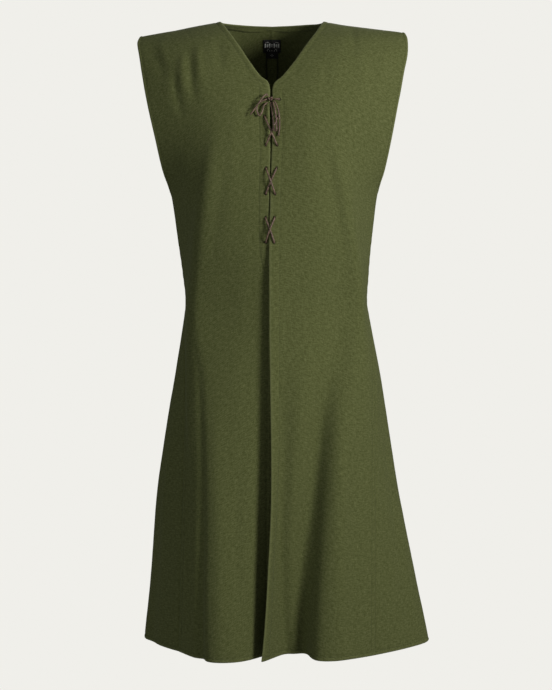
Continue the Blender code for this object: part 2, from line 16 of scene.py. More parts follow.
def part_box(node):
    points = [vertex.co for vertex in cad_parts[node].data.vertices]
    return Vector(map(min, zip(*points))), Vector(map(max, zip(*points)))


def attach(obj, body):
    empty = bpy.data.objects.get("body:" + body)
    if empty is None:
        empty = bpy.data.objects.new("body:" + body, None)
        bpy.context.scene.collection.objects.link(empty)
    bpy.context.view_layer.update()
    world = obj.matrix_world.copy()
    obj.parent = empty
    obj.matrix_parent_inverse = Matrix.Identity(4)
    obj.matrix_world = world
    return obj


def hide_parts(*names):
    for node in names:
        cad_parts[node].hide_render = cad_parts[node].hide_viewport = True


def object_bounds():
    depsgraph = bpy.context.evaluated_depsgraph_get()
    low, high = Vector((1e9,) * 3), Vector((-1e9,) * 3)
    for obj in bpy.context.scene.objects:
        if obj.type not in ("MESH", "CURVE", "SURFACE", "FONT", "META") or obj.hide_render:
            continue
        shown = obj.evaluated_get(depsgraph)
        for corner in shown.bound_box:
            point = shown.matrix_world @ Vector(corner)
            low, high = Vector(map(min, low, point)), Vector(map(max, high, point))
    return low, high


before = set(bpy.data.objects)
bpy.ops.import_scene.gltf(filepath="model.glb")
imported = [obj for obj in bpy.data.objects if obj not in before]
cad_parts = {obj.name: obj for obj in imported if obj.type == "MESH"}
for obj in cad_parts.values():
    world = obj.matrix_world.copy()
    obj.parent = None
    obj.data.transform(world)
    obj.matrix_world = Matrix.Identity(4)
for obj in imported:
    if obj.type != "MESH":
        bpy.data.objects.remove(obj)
cad_low, cad_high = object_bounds()

MM = 0.001                  # the tables below are in millimetres
BODY = "root"

# ---- sizes shared with the CAD model ------------------------------------------------
CLOTH = 2.0                 # thickness of the wool
ARMHOLE_HALF = 54.0         # half the armhole's width, front edge to shoulder line
ARMHOLE_FULLNESS = 0.6      # 1 gives a pointed lens, less gives rounder ends
BAND_WIDTH = 12.0           # turned band inside the back neckline
BAND_THICKNESS = 1.0
BAND_LIFT = 0.5             # from the back's inner face to the band
LABEL_SIZE = (30.0, 22.0)
SIZE_TAB_SIZE = (21.0, 10.0)
LABEL_TOP = 22.0            # from the centre-back neckline down to the label
LABEL_THICKNESS = 0.8
LABEL_LIFT = 1.3            # room for the pressed-open seam behind the label
TAB_GAP = 0.3               # between the label and the size tab
LACE_DIAMETER = 2.6
EYELET_DIAMETER = 4.4
LACE_LIFT = CLOTH / 2 + LACE_DIAMETER / 2 + 0.5     # lace centre above the cloth's middle
CROSSING_LIFT = LACE_LIFT + 1.4     # where the lace crosses over the slit's edges
OVER_LIFT = LACE_DIAMETER + 1.0     # the upper strand above the lower one, where they cross
EYELET_LEAD = 1.0           # sideways from the hole's centre where the lace dips into it
DOWN = np.array([0.0, 0.0, -1.0])
TURN_DEPTH = np.array([0.0, 3.5, -1.0])     # the lace's lowest run bows inward

# ---- levels -------------------------------------------------------------------------
# Every table has one row a level, from the shoulder seam down to the hem.
BACK_NECK = 4               # the level where the back neckline reaches the centre back
CENTRE_EDGE_TOP = 5         # the level where the V neckline turns into the centre edge
ARMHOLE_BOTTOM = 8          # the level where front and back meet under the arm
WAIST = 11                  # the level where the side gores start
HEM = 16

FrontRow = namedtuple("FrontRow", "z_in x_in y_in x_ridge y_ridge softness")
SideRow = namedtuple("SideRow", "z_out x_out y_front y_back x_flank")
BackRow = namedtuple("BackRow", "z_in x_in y_in x_ridge y_ridge softness")

# x counts outward from the centre line.  z_in, x_in, y_in follow the neckline and then
# the centre edge; x_ridge, y_ridge follow the crease that turns the front to the side.
FRONT = {
    "left": (
        FrontRow(0, 88.5, 0, 160, 0, 0.40),
        FrontRow(-20, 75, -38, 155, -44, 0.36),
        FrontRow(-46, 56, -62, 148, -71, 0.32),
        FrontRow(-71, 39, -78, 140, -90, 0.28),
        FrontRow(-97, 18, -89, 130, -101, 0.24),
        FrontRow(-114, 2, -95, 120, -106, 0.20),
        FrontRow(-160, 1.5, -105, 112, -109, 0.14),
        FrontRow(-230, -0.5, -112, 112, -107, 0.09),
        FrontRow(-300, -3, -116, 127, -102, 0.08),
        FrontRow(-390, -5, -117, 141, -88, 0.07),
        FrontRow(-440, -5, -116, 150, -77, 0.07),
        FrontRow(-487, -5, -115, 158, -68, 0.07),
        FrontRow(-545, -5, -116, 154, -74, 0.09),
        FrontRow(-620, -4, -120, 144, -92, 0.11),
        FrontRow(-800, -2, -127, 124, -122, 0.14),
        FrontRow(-950, -4, -124, 112, -140, 0.16),
        FrontRow(-1078, 0, -112, 104, -158, 0.18),
    ),
    "right": (
        FrontRow(0, 88.5, 0, 160, 0, 0.40),
        FrontRow(-20, 73, -38, 155, -44, 0.36),
        FrontRow(-46, 55, -62, 148, -71, 0.32),
        FrontRow(-71, 39, -78, 138, -90, 0.28),
        FrontRow(-97, 20, -89, 124, -101, 0.24),
        FrontRow(-112, 5, -95, 108, -106, 0.20),
        FrontRow(-160, 4.5, -104, 97, -110, 0.14),
        FrontRow(-230, 3, -110, 104, -110, 0.09),
        FrontRow(-300, 4.6, -114, 115, -106, 0.08),
        FrontRow(-390, 3, -112, 125, -94, 0.07),
        FrontRow(-440, -8, -108, 132, -85, 0.07),
        FrontRow(-487, -9, -107, 137, -78, 0.07),
        FrontRow(-545, -9, -107, 136, -84, 0.09),
        FrontRow(-620, -9, -108, 128, -100, 0.13),
        FrontRow(-800, -8, -111, 114, -140, 0.17),
        FrontRow(-950, -6, -112, 107, -168, 0.19),
        FrontRow(-1077, -2, -108, 101, -190, 0.20),
    ),
}

# z_out and x_out follow the armhole edge, the side seam and then the gore's seams,
# y_front and y_back say how far those two seams have parted, and x_flank is where the
# gore would come to a point at the side if it were not rounded.
SIDE = {
    "left": (
        SideRow(-19, 229, 0, 0, 229),
        SideRow(-30, 233, 0, 0, 233),
        SideRow(-57, 232, 0, 0, 232),
        SideRow(-89, 225, 0, 0, 225),
        SideRow(-121, 219, 0, 0, 219),
        SideRow(-150, 213, 0, 0, 213),
        SideRow(-200, 204, 0, 0, 204),
        SideRow(-256, 193, 0, 0, 193),
        SideRow(-297, 183, 0, 0, 183),
        SideRow(-390, 172, 0, 0, 172),
        SideRow(-440, 168, 0, 0, 168),
        SideRow(-487, 165, -0.8, 0.8, 165),
        SideRow(-545, 172, -24, 26, 176),
        SideRow(-620, 177, -46, 50, 194),
        SideRow(-800, 177, -74, 78, 236),
        SideRow(-950, 176, -92, 94, 281),
        SideRow(-1080, 176, -103, 104, 321),
    ),
    "right": (
        SideRow(-25, 228, 0, 0, 228),
        SideRow(-37, 232, 0, 0, 232),
        SideRow(-60, 228, 0, 0, 228),
        SideRow(-89, 223, 0, 0, 223),
        SideRow(-121, 217, 0, 0, 217),
        SideRow(-150, 211, 0, 0, 211),
        SideRow(-200, 200, 0, 0, 200),
        SideRow(-256, 188, 0, 0, 188),
        SideRow(-299, 176, 0, 0, 176),
        SideRow(-390, 162, 0, 0, 162),
        SideRow(-440, 155, 0, 0, 155),
        SideRow(-487, 150, -0.8, 0.8, 150),
        SideRow(-545, 152, -24, 24, 160),
        SideRow(-620, 150, -47, 46, 180),
        SideRow(-800, 152, -78, 74, 222),
        SideRow(-950, 156, -91, 92, 239),
        SideRow(-1078, 160, -86, 100, 256),
    ),
}

BACK = (
    BackRow(0, 88.5, 0, 160, 0, 0.40),
    BackRow(-0.5, 83, 29, 156, 44, 0.36),
    BackRow(-1, 65, 49, 150, 69, 0.32),
    BackRow(-2, 37, 61, 142, 87, 0.28),
    BackRow(-3, 0, 65, 134, 98, 0.26),
    BackRow(-44, 0, 78, 126, 105, 0.24),
    BackRow(-110, 0, 96, 116, 110, 0.22),
    BackRow(-205, 0, 107, 112, 110, 0.20),
    BackRow(-300, 0, 111, 120, 104, 0.18),
    BackRow(-390, 0, 104, 128, 90, 0.16),
    BackRow(-440, 0, 99, 132, 82, 0.14),
    BackRow(-487, 0, 98, 134, 78, 0.14),
    BackRow(-545, 0, 102, 132, 85, 0.16),
    BackRow(-620, 0, 111, 126, 100, 0.18),
    BackRow(-800, 0, 126, 118, 128, 0.18),
    BackRow(-950, 0, 132, 112, 146, 0.18),
    BackRow(-1080, 0, 134, 108, 158, 0.18),
)

RIDGE_SHARE = 0.6           # where along a row the ridge lies
GORE_SOFTNESS = 0.2         # how widely the gore is rounded at the side

# Large folds: across is the place along the row (0 centre, 1 side), out is how far the
# cloth stands forward (or, below 0, sinks back) at the hem, and z_start is where it begins.
Fold = namedtuple("Fold", "across_top across_hem width out z_start growth")
FOLDS = {
    "front_left": (
        Fold(0.00, 0.00, 0.050, 46.0, -400, 2.0),       # free edge stands forward
        Fold(0.10, 0.10, 0.060, -12.0, -520, 1.5),
        Fold(0.50, 0.25, 0.125, -40.0, -330, 1.0),      # hollow beside it
        Fold(0.32, 0.32, 0.220, 8.0, 0, 0.3),           # the breast is slightly full
    ),
    "front_right": (
        Fold(0.62, 0.74, 0.050, -8.0, -480, 1.0),       # narrow hollow before the gore
        Fold(0.30, 0.34, 0.140, 5.0, -500, 1.0),
        Fold(0.00, 0.00, 0.120, -4.0, -480, 1.0),       # lies under the left edge
        Fold(0.32, 0.32, 0.220, 3.0, 0, 0.3),
    ),
    "back_left": (
        Fold(0.26, 0.30, 0.120, -17.0, -430, 1.3),
        Fold(0.86, 0.84, 0.070, -8.0, -520, 1.0),
    ),
    "back_right": (
        Fold(0.34, 0.28, 0.110, -20.0, -460, 1.3),
        Fold(0.80, 0.82, 0.080, -6.0, -540, 1.0),
    ),
    "gore_left": (
        Fold(0.62, 0.70, 0.110, -7.0, -640, 1.0),
    ),
    "gore_right": (
        Fold(0.36, 0.34, 0.110, -6.0, -660, 1.0),
    ),
}

# ---- fine details of the cloth ------------------------------------------------------
ROW_PITCH = 4.8             # between the fine rows down a panel
COLUMNS_BETWEEN = {"front": 50, "back": 44, "gore": 30}     # between the edges' own stations

# Distances from an edge at which the grid has a line of its own, so that the rounded rim,
# the stitch groove and the step of a turned edge all fall on grid lines.
CENTRE_STATIONS = (0.0, 0.7, 1.8, 3.2, 5.0, 7.0, 8.5, 11.0, 14.0, 15.6, 17.0, 18.4, 21.0)
SIDE_STATIONS = (0.0, 0.7, 1.8, 3.2, 4.6, 6.0, 8.5, 11.0, 13.5)
HEM_STATIONS = (0.0, 0.7, 1.8, 3.2, 4.6, 6.0, 7.4, 9.6)
SHOULDER_STATIONS = (0.0, 0.8, 2.0, 4.0, 7.0, 11.0)

NECK_STITCH = 8.5           # from the neckline to its stitch line
SLIT_STITCH = 17.0          # from the centre edge to the stitch line of its turning
ARMHOLE_STITCH = 4.6
GORE_STITCH = 8.5           # topstitch beside the gores' seams
HEM_STITCH = 6.0
SEAM_ALLOWANCE = 11.0       # pressed open on the inside

RIM_SHARE = 0.5             # how much of the thickness is rounded away at a free edge
RIM_REACH = 0.8
RIM_BULGE = 0.5             # how far the fold itself stands out past the edge's grid line
TURNED_FULLNESS = 0.3       # a turned edge is fuller by this much on each face
SEAM_DIP = 1.2              # a seam sinks between its two panels
SEAM_REACH = 2.3
PUCKER = 0.28               # small waves where a seam's thread draws the cloth together
PUCKER_PITCH = 17.0
GROOVE = 0.7                # how deep a row of stitches pulls into the cloth
GROOVE_REACH = 1.4
CREASE_CLEARANCE = 16.0     # creases fade out over this distance before a seam

# Unevenness that no crease names: (height, size across, size down)
Rumple = namedtuple("Rumple", "height across down")
RUMPLES = (Rumple(1.5, 90.0, 260.0), Rumple(0.55, 34.0, 90.0), Rumple(0.16, 11.0, 17.0))

# A soft ridge (height above 0) or trough along a path.  The path's points are (x, z) on the
# fronts and backs and (y, z) on the gores; x is the frame's own, so it is below 0 on the
# wearer's right.  The widths are those of the slope on the path's low and high side.
Crease = namedtuple("Crease", "height width_low width_high path")
CREASES = {
    "front_right": (
        Crease(3.2, 8, 16, ((-90, -140), (-96, -175), (-108, -248), (-119, -314), (-129, -374),
                           (-136, -430), (-140, -500), (-139, -590), (-137, -700), (-136, -830))),
        Crease(2.2, 8, 6, ((-136, -400), (-141, -500), (-140, -590), (-138, -700), (-137, -800))),
        Crease(-0.8, 12, 14, ((-121, -500), (-125, -580), (-125, -700), (-122, -860), (-120, -1110))),
        Crease(1.3, 9, 14, ((-92, -600), (-93, -760), (-88, -940), (-84, -1110))),
        Crease(-1.8, 16, 10, ((-58, -700), (-60, -850), (-55, -980), (-54, -1110))),
        Crease(1.2, 12, 10, ((-33, -640), (-35, -800), (-31, -950), (-30, -1110))),
        Crease(-1.0, 5, 6, ((-141, -640), (-142, -760), (-139, -900), (-137, -1110))),
        Crease(-2.6, 7, 8, ((-141, -44), (-139, -76), (-135, -112), (-127, -146))),
        Crease(2.2, 8, 7, ((-128, -36), (-123, -74), (-119, -112))),
        Crease(1.9, 6, 7, ((-153, -54), (-152, -90), (-148, -128))),
        Crease(-2.2, 6, 7, ((-166, -78), (-165, -106), (-160, -136), (-150, -172))),
        Crease(-1.9, 7, 9, ((-93, -30), (-90, -60), (-84, -92))),
        Crease(-1.6, 10, 12, ((-214, -40), (-203, -56), (-190, -80), (-182, -112))),
        Crease(1.2, 10, 9, ((-196, -34), (-184, -58), (-175, -84))),
        Crease(1.1, 5, 4, ((-16, -134), (-24, -147), (-34, -166), (-44, -190))),
        Crease(-0.9, 5, 6, ((-20, -128), (-33, -146), (-46, -170))),
        Crease(0.9, 9, 12, ((-58, -120), (-64, -190), (-72, -280))),
        Crease(-1.3, 14, 12, ((-76, -205), (-86, -290), (-98, -370), (-104, -440))),
        Crease(-1.2, 14, 16, ((-168, -230), (-158, -300), (-150, -350))),
        Crease(0.9, 10, 12, ((-150, -200), (-143, -270), (-141, -330))),
        Crease(0.8, 18, 14, ((-40, -330), (-46, -420), (-50, -520))),
    ),
    "front_left": (
        Crease(3.2, 8, 16, ((100, -196), (107, -234), (119, -280), (128, -339), (137, -386),
                            (147, -434), (160, -490))),
        Crease(-1.2, 12, 9, ((88, -200), (98, -246), (108, -296), (117, -350), (127, -400),
                             (137, -450))),
        Crease(2.4, 10, 9, ((158, -480), (162, -560), (160, -650), (156, -760))),
        Crease(-2.2, 14, 12, ((78, -470), (78, -560), (76, -700), (72, -860), (68, -980),
                             (64, -1110))),
        Crease(6.0, 22, 16, ((106, -520), (112, -700), (113, -900), (111, -1110))),
        Crease(-1.2, 12, 14, ((132, -760), (136, -900), (134, -1110))),
        Crease(1.1, 10, 12, ((52, -640), (50, -800), (44, -960), (41, -1110))),
        Crease(-0.9, 10, 12, ((27, -560), (26, -720), (22, -900), (20, -1110))),
        Crease(-1.9, 10, 8, ((136, -2), (138, -18), (139, -40), (137, -66))),
        Crease(1.3, 6, 8, ((149, -40), (152, -80), (150, -126), (142, -170))),
        Crease(-0.8, 8, 9, ((168, -62), (168, -96), (160, -136))),
        Crease(1.0, 10, 9, ((192, -42), (188, -74), (180, -110))),
        Crease(-1.1, 8, 10, ((92, -60), (92, -92), (88, -132))),
        Crease(-0.9, 12, 14, ((84, -190), (92, -262), (102, -330), (110, -400))),
        Crease(0.8, 14, 14, ((54, -160), (62, -250), (66, -360))),
        Crease(-1.0, 12, 14, ((158, -236), (154, -300), (152, -350))),
        Crease(0.7, 5, 5, ((18, -136), (27, -150), (36, -170))),
        Crease(0.7, 16, 18, ((44, -400), (48, -480), (50, -560))),
    ),
    "back_left": (
        Crease(1.4, 12, 14, ((52, -60), (46, -130), (40, -220), (36, -330))),
        Crease(-1.6, 10, 12, ((92, -90), (86, -170), (84, -250), (88, -330))),
        Crease(1.3, 9, 10, ((132, -60), (128, -120), (122, -190))),
        Crease(-1.3, 8, 9, ((158, -64), (152, -110), (144, -160))),
        Crease(-1.5, 13, 11, ((34, -360), (36, -430), (33, -520), (30, -640))),
        Crease(1.2, 12, 10, ((66, -380), (70, -450), (70, -540))),
        Crease(-2.0, 10, 13, ((84, -620), (82, -760), (76, -920), (72, -1110))),
        Crease(1.6, 11, 12, ((112, -600), (114, -760), (112, -920), (108, -1110))),
        Crease(-1.2, 9, 10, ((140, -640), (142, -800), (138, -1110))),
        Crease(1.2, 12, 12, ((20, -700), (22, -860), (20, -1110))),
        Crease(-1.0, 10, 12, ((196, -52), (186, -82), (176, -120))),
    ),
    "back_right": (
        Crease(1.3, 14, 12, ((-50, -64), (-47, -140), (-40, -240), (-38, -320))),
        Crease(-1.7, 12, 10, ((-88, -80), (-84, -150), (-80, -240), (-84, -340))),
        Crease(1.2, 10, 9, ((-130, -56), (-127, -112), (-120, -180))),
        Crease(-1.4, 9, 8, ((-160, -70), (-154, -120), (-146, -170))),
        Crease(-1.3, 11, 13, ((-40, -340), (-38, -440), (-36, -560))),
        Crease(1.4, 10, 12, ((-72, -400), (-74, -480), (-73, -590))),
        Crease(-2.2, 13, 10, ((-60, -600), (-60, -760), (-56, -920), (-52, -1110))),
        Crease(1.7, 12, 11, ((-92, -610), (-94, -780), (-92, -940), (-90, -1110))),
        Crease(-1.4, 10, 9, ((-124, -660), (-126, -820), (-124, -1110))),
        Crease(1.0, 12, 12, ((-22, -720), (-24, -880), (-22, -1110))),
        Crease(-1.1, 12, 10, ((-198, -48), (-188, -80), (-178, -124))),
    ),
    "gore_left": (
        Crease(-1.5, 9, 10, ((-24, -640), (-32, -780), (-42, -930), (-48, -1110))),
        Crease(1.3, 10, 10, ((4, -620), (6, -780), (2, -940), (0, -1110))),
        Crease(-1.2, 11, 9, ((44, -700), (52, -860), (58, -1110))),
    ),
    "gore_right": (
        Crease(1.4, 9, 10, ((-30, -660), (-38, -800), (-44, -950), (-46, -1110))),
        Crease(-1.4, 10, 10, ((2, -640), (-2, -800), (4, -960), (6, -1110))),
        Crease(1.1, 10, 9, ((40, -690), (48, -850), (54, -1110))),
    ),
}

# ---- lacing -------------------------------------------------------------------------
# One row a pair of eyelets: their height, and the place of each hole across the frame.
EyeletRow = namedtuple("EyeletRow", "z x_right x_left")
EYELETS = (
    EyeletRow(-137.0, -12.5, 12.5),
    EyeletRow(-165.0, -12.5, 10.0),
    EyeletRow(-214.0, -10.5, 8.5),
    EyeletRow(-252.0, -10.0, 7.5),
    EyeletRow(-295.5, -10.5, 5.0),
    EyeletRow(-335.0, -10.5, 4.0),
    EyeletRow(-377.0, -10.5, 3.5),
)

# The knot and what hangs from it, as (x, lift, z) with lift forward from the breast.
KNOT_CENTRE = (-2.5, 6.2, -136.0)
KNOT_HALF_SIZE = (5.0, 3.6, 4.2)
KNOT_RIGHT_SIDE = (-8.0, 4.4, -136.6)
KNOT_LEFT_SIDE = (3.2, 4.4, -136.6)
BOW = {
    "bow_loop_left": (
        (-8.8, 8.2, -137.2), (-16.0, 8.6, -139.6), (-24.0, 8.2, -146.0), (-25.5, 8.0, -155.5),
        (-21.0, 7.2, -164.5), (-16.6, 7.0, -158.5), (-13.6, 7.0, -147.5), (-7.6, 6.6, -142.0),
    ),
    "bow_end_left": (
        (-6.6, 9.6, -132.0), (-9.4, 10.4, -128.4), (-14.6, 11.6, -133.0), (-23.0, 12.6, -144.6),
        (-30.0, 10.6, -154.5), (-36.6, 8.8, -163.0),
    ),
    "bow_loop_right": (
        (-2.6, 8.6, -141.8), (-0.4, 11.0, -152.0), (1.4, 13.2, -166.0), (2.8, 14.0, -180.0),
        (4.6, 14.4, -190.0), (7.0, 16.4, -190.0), (7.6, 17.6, -180.0), (6.6, 17.2, -166.0),
        (4.4, 15.2, -152.0), (1.4, 12.0, -141.8),
    ),
    "bow_end_right": (
        (3.8, 8.6, -139.4), (7.6, 9.2, -147.0), (11.4, 8.6, -160.0), (12.8, 7.8, -178.0),
        (11.0, 7.0, -198.5),
    ),
}


# ---- curves and sections ------------------------------------------------------------
def catmull_rom(before, here, there, after, f):
    """The point a share f of the way from here to there on a Catmull-Rom curve."""
    return 0.5 * (2 * here + (there - before) * f
                  + (2 * before - 5 * here + 4 * there - after) * f ** 2
                  + (3 * here - before - 3 * there + after) * f ** 3)


def eased(x):
    """0 up to x = 0, 1 from x = 1, and a smooth step between them."""
    x = np.clip(x, 0.0, 1.0)
    return x * x * (3 - 2 * x)


def spline(rows, t):
    """All columns of a table at level t, on a Catmull-Rom curve through its rows.

    Above the first row the curve goes on over the shoulder, so y changes sign there.
    """
    i = min(int(t), len(rows) - 2)
    f = t - i
    here, there = np.array(rows[i], float), np.array(rows[i + 1], float)
    over_shoulder = [-1 if name.startswith("y_") else 1 for name in rows[0]._fields]
    before = np.array(rows[i - 1], float) if i else there * over_shoulder
    after = np.array(rows[i + 2], float) if i + 2 < len(rows) else 2 * there - here
    return catmull_rom(before, here, there, after, f)


def soft_corner(start, corner, end, share, softness, s):
    """Points at s (0 to 1) from start past a rounded-off corner to end."""
    first = (corner - start) / share
    second = (end - corner) / (1 - share)

    def ramp(x):
        return (x + np.sqrt(x * x + softness * softness)) / 2

    bend = ramp(s - share) - ramp(-share) * (1 - s) - (ramp(1 - share) - (1 - share)) * s
    return start + np.outer(s, first) + np.outer(bend, second - first)


def folded(points, s, folds, z_level):
    """The row with its folds, each moved along the row's own outward direction in plan."""
    run = np.gradient(points[:, :2], s, axis=0)
    run /= np.linalg.norm(run, axis=1)[:, None]
    outward = np.stack([-run[:, 1], run[:, 0], np.zeros(len(s))], axis=1)
    if np.dot(outward[len(s) // 2, :2], points[len(s) // 2, :2]) < 0:
        outward = -outward
    z_hem = BACK[HEM].z_in
    out = np.zeros(len(s))
    for fold in folds:
        down = (fold.z_start - z_level) / (fold.z_start - z_hem)
        if down <= 0:
            continue
        across = fold.across_top + (fold.across_hem - fold.across_top) * eased(down)
        out += fold.out * down ** fold.growth * np.exp(-((s - across) / fold.width) ** 2)
    return points + outward * out[:, None]


def armhole_reach(z, z_top, z_bottom):
    """Half-width of the armhole at height z, as a lens with rounded ends."""
    share = min(max((z_top - z) / (z_top - z_bottom), 0.0), 1.0)
    return ARMHOLE_HALF * math.sin(math.pi * share) ** ARMHOLE_FULLNESS


def side_point(side, t, facing):
    """The outer edge of the front (facing -1) or back (facing 1) at level t."""
    z, x, y_front, y_back, _ = spline(SIDE[side], t)
    if t < ARMHOLE_BOTTOM:
        top, bottom = SIDE[side][0].z_out, SIDE[side][ARMHOLE_BOTTOM].z_out
        y = facing * armhole_reach(z, top, bottom)
    elif t <= WAIST - 1:
        y = 0.0
    else:
        y = min(y_front, 0.0) if facing < 0 else max(y_back, 0.0)
    return np.array([x, y, z])


def mirror_right(side, points):
    """Tables count x outward; the right-hand side lies at -X."""
    if side == "right":
        points = points * np.array([-1.0, 1.0, 1.0])
    return points


def panel_row(panel, t, s):
    """Points on the middle of a panel's cloth at level t, at each s across it."""
    kind, side = panel.split("_")
    if kind == "gore":
        start, end = side_point(side, t, -1), side_point(side, t, 1)
        _, _, _, _, x_flank = spline(SIDE[side], t)
        flank = np.array([x_flank, (start[1] + end[1]) / 2, start[2]])
        points = soft_corner(start, flank, end, 0.5, GORE_SOFTNESS, s)
    else:
        table = FRONT[side] if kind == "front" else BACK
        z, x, y, x_ridge, y_ridge, softness = spline(table, t)
        if kind == "back" and t > BACK_NECK:
            x = 0.0
        start, end = np.array([x, y, z]), side_point(side, t, -1 if kind == "front" else 1)
        ridge = np.array([x_ridge, y_ridge, z + (end[2] - z) * RIDGE_SHARE])
        points = soft_corner(start, ridge, end, RIDGE_SHARE, softness, s)
    points = folded(points, s, FOLDS[panel], points[0, 2])
    return mirror_right(side, points)


# ---- fine grids ---------------------------------------------------------------------
TINY = 1e-6                 # keeps a zero length from being divided by
FAR = 1e3                   # farther than any edge is
LEAST_SINE = 0.45           # a very slanting edge is treated as no more slanting than this
EDGE_SHARE = 0.4            # the most of a short row that one edge's stations take up
SHOULDER_GAP = 0.05         # no plain row comes nearer, in levels, to the shoulder's own rows
HEM_GAP = 0.02              # the same at the hem
ROW_SAMPLES = 161           # points worked out along a row before its stations are placed
CENTRE_CROWDING = 1.25      # above 1, they are closer together toward the centre edge
SMOOTHING = 0.3             # share of each small step between samples that is taken out
SMOOTHED_UP_TO = 6.0        # only where the points on either side are nearer together than this

# A panel's grid of points, normals and distances from its four edges, all in millimetres.
# across and down run along the cloth; free is the distance from the nearest free edge.
Cloth = namedtuple("Cloth", "points normals")
Panel = namedtuple("Panel", "levels cloth from_start from_end from_top from_hem across down")


def level_lengths():
    """How far apart the table's levels are on the cloth, measured at the left front's ridge."""
    ridge = np.array([[row.y_ridge, row.z_in] for row in FRONT["left"]], float)
    return np.hypot(*np.diff(ridge, axis=0).T)


def row_levels(first=0):
    """Table levels of the fine rows, closer together along the shoulder seam and the hem."""
    lengths = level_lengths()
    levels = []
    for level, length in enumerate(lengths):
        count = math.ceil(length / ROW_PITCH)
        levels += [level + k / count for k in range(count)]
    top = [d / lengths[0] for d in SHOULDER_STATIONS]
    hem = [HEM - d / lengths[-1] for d in reversed(HEM_STATIONS)]
    between = [t for t in levels if top[-1] + SHOULDER_GAP < t < hem[0] - HEM_GAP]
    return [t for t in top + between + hem if t >= first]


def lengths_along(points):
    """Distance of each point from the first along a line of points."""
    return np.concatenate([[0.0], np.cumsum(np.linalg.norm(np.diff(points, axis=0), axis=1))])


def grid_lengths(points):
    """How far each point of a grid is along its row, and how far down its column."""
    across = np.array([lengths_along(row) for row in points])
    down = np.array([lengths_along(column) for column in points.transpose(1, 0, 2)]).T
    return across, down


def unit_rows(vectors):
    """Every row of vectors at length 1."""
    return vectors / np.maximum(np.linalg.norm(vectors, axis=1), TINY)[:, None]


def squareness(edge_line, inner_line):
    """Sine of the angle between a panel's edge and its rows, at each row."""
    along = unit_rows(np.gradient(edge_line, axis=0))
    inward = unit_rows(inner_line - edge_line)
    return np.clip(np.linalg.norm(np.cross(along, inward), axis=1), LEAST_SINE, 1.0)


def stations(length, start, end, between):
    """Distances along one row: an edge's own stations, an even stretch, the other edge's."""
    near = start * min(1.0, EDGE_SHARE * length / start[-1])
    far = end * min(1.0, EDGE_SHARE * length / end[-1])
    middle = np.linspace(near[-1], length - far[-1], between + 2)[1:-1]
    return np.concatenate([near, middle, length - far[::-1]])


NECKLINE_REACH = 45.0       # how far from the back neckline its levelling is felt


def level_back_neckline(rows, levels):
    """Takes out the rise that the table's curve has just before the centre-back seam."""
    before, centre = BACK[BACK_NECK - 1].z_in, BACK[BACK_NECK].z_in
    for row, level in zip(rows, levels):
        if BACK_NECK - 1 < level < BACK_NECK:
            share = level - (BACK_NECK - 1)
            rise = spline(BACK, level)[0] - (before + (centre - before) * share)
            row[:, 2] -= rise * np.exp(-(lengths_along(row) / NECKLINE_REACH) ** 2)


def panel_points(panel, levels):
    """The un-creased middle of a panel's cloth, on the stations of every row."""
    kind = panel.split("_")[0]
    start = np.array(SIDE_STATIONS if kind == "gore" else CENTRE_STATIONS)
    end = np.array(SIDE_STATIONS)
    s = np.linspace(0, 1, ROW_SAMPLES) ** (1.0 if kind == "gore" else CENTRE_CROWDING)
    rows = np.array([panel_row(panel, t, s) for t in levels])
    if kind == "back":
        level_back_neckline(rows, levels)
    start_sine = squareness(rows[:, 0], rows[:, 3])
    end_sine = squareness(rows[:, -1], rows[:, -4])
    result = []
    for row, sine, other_sine in zip(rows, start_sine, end_sine):
        along = lengths_along(row)
        places = stations(along[-1], start / sine, end / other_sine, COLUMNS_BETWEEN[kind])
        result.append(np.stack([np.interp(places, along, row[:, k]) for k in range(3)], axis=1))
    return np.array(result)


def smooth_columns(points):
    """Evens out the small steps left by the straight pieces between a row's samples."""
    result = points.copy()
    inner = points[:, 1:-1]
    chord = (points[:, 2:] + points[:, :-2]) / 2
    spacing = np.linalg.norm(points[:, 2:] - points[:, :-2], axis=2)
    near = spacing < SMOOTHED_UP_TO
    offset = chord - inner
    tangent = (points[:, 2:] - points[:, :-2]) / np.maximum(spacing, TINY)[:, :, None]
    sideways = offset - tangent * np.sum(offset * tangent, axis=2)[:, :, None]
    result[:, 1:-1] = inner + SMOOTHING * sideways * near[:, :, None]
    return result


def grid_normals(grid):
    """Unit normals of a grid of points, pointing away from the garment's inside."""
    down, across = np.gradient(grid, axis=0), np.gradient(grid, axis=1)
    normals = np.cross(down, across)
    normals /= np.maximum(np.linalg.norm(normals, axis=2), 1e-9)[:, :, None]
    middle = tuple(n // 2 for n in grid.shape[:2])
    away = grid[middle] * np.array([1.0, 1.0, 0.0])
    if np.dot(normals[middle], away) < 0:
        normals = -normals
    return normals


def share_edge(first, second):
    """Gives two edges that are sewn together one direction, so the seam stays even."""
    both = first + second
    both /= np.linalg.norm(both, axis=1)[:, None]
    first[:] = both
    second[:] = both


def measured_panel(levels, points, normals):
    """A panel with the distance of every grid point from each of its edges."""
    across, down = grid_lengths(points)
    start_sine = squareness(points[:, 0], points[:, 1])[:, None]
    end_sine = squareness(points[:, -1], points[:, -2])[:, None]
    return Panel(np.array(levels), Cloth(points, normals), across * start_sine,
                 (across[:, -1:] - across) * end_sine, down, down[-1:] - down, across, down)


UNDER_ARM_REACH = 75.0      # how far up and down the bend under the arm is spread
UNDER_ARM_PASSES = 70
UNDER_ARM_RATE = 0.5        # how far one pass moves a row toward its neighbours' middle
SIDE_HELD = 14.0            # the side seam and the laced edge keep their places
CENTRE_HELD = 60.0
CENTRE_FIXED = 0.4          # this share of CENTRE_HELD doesn't move at all


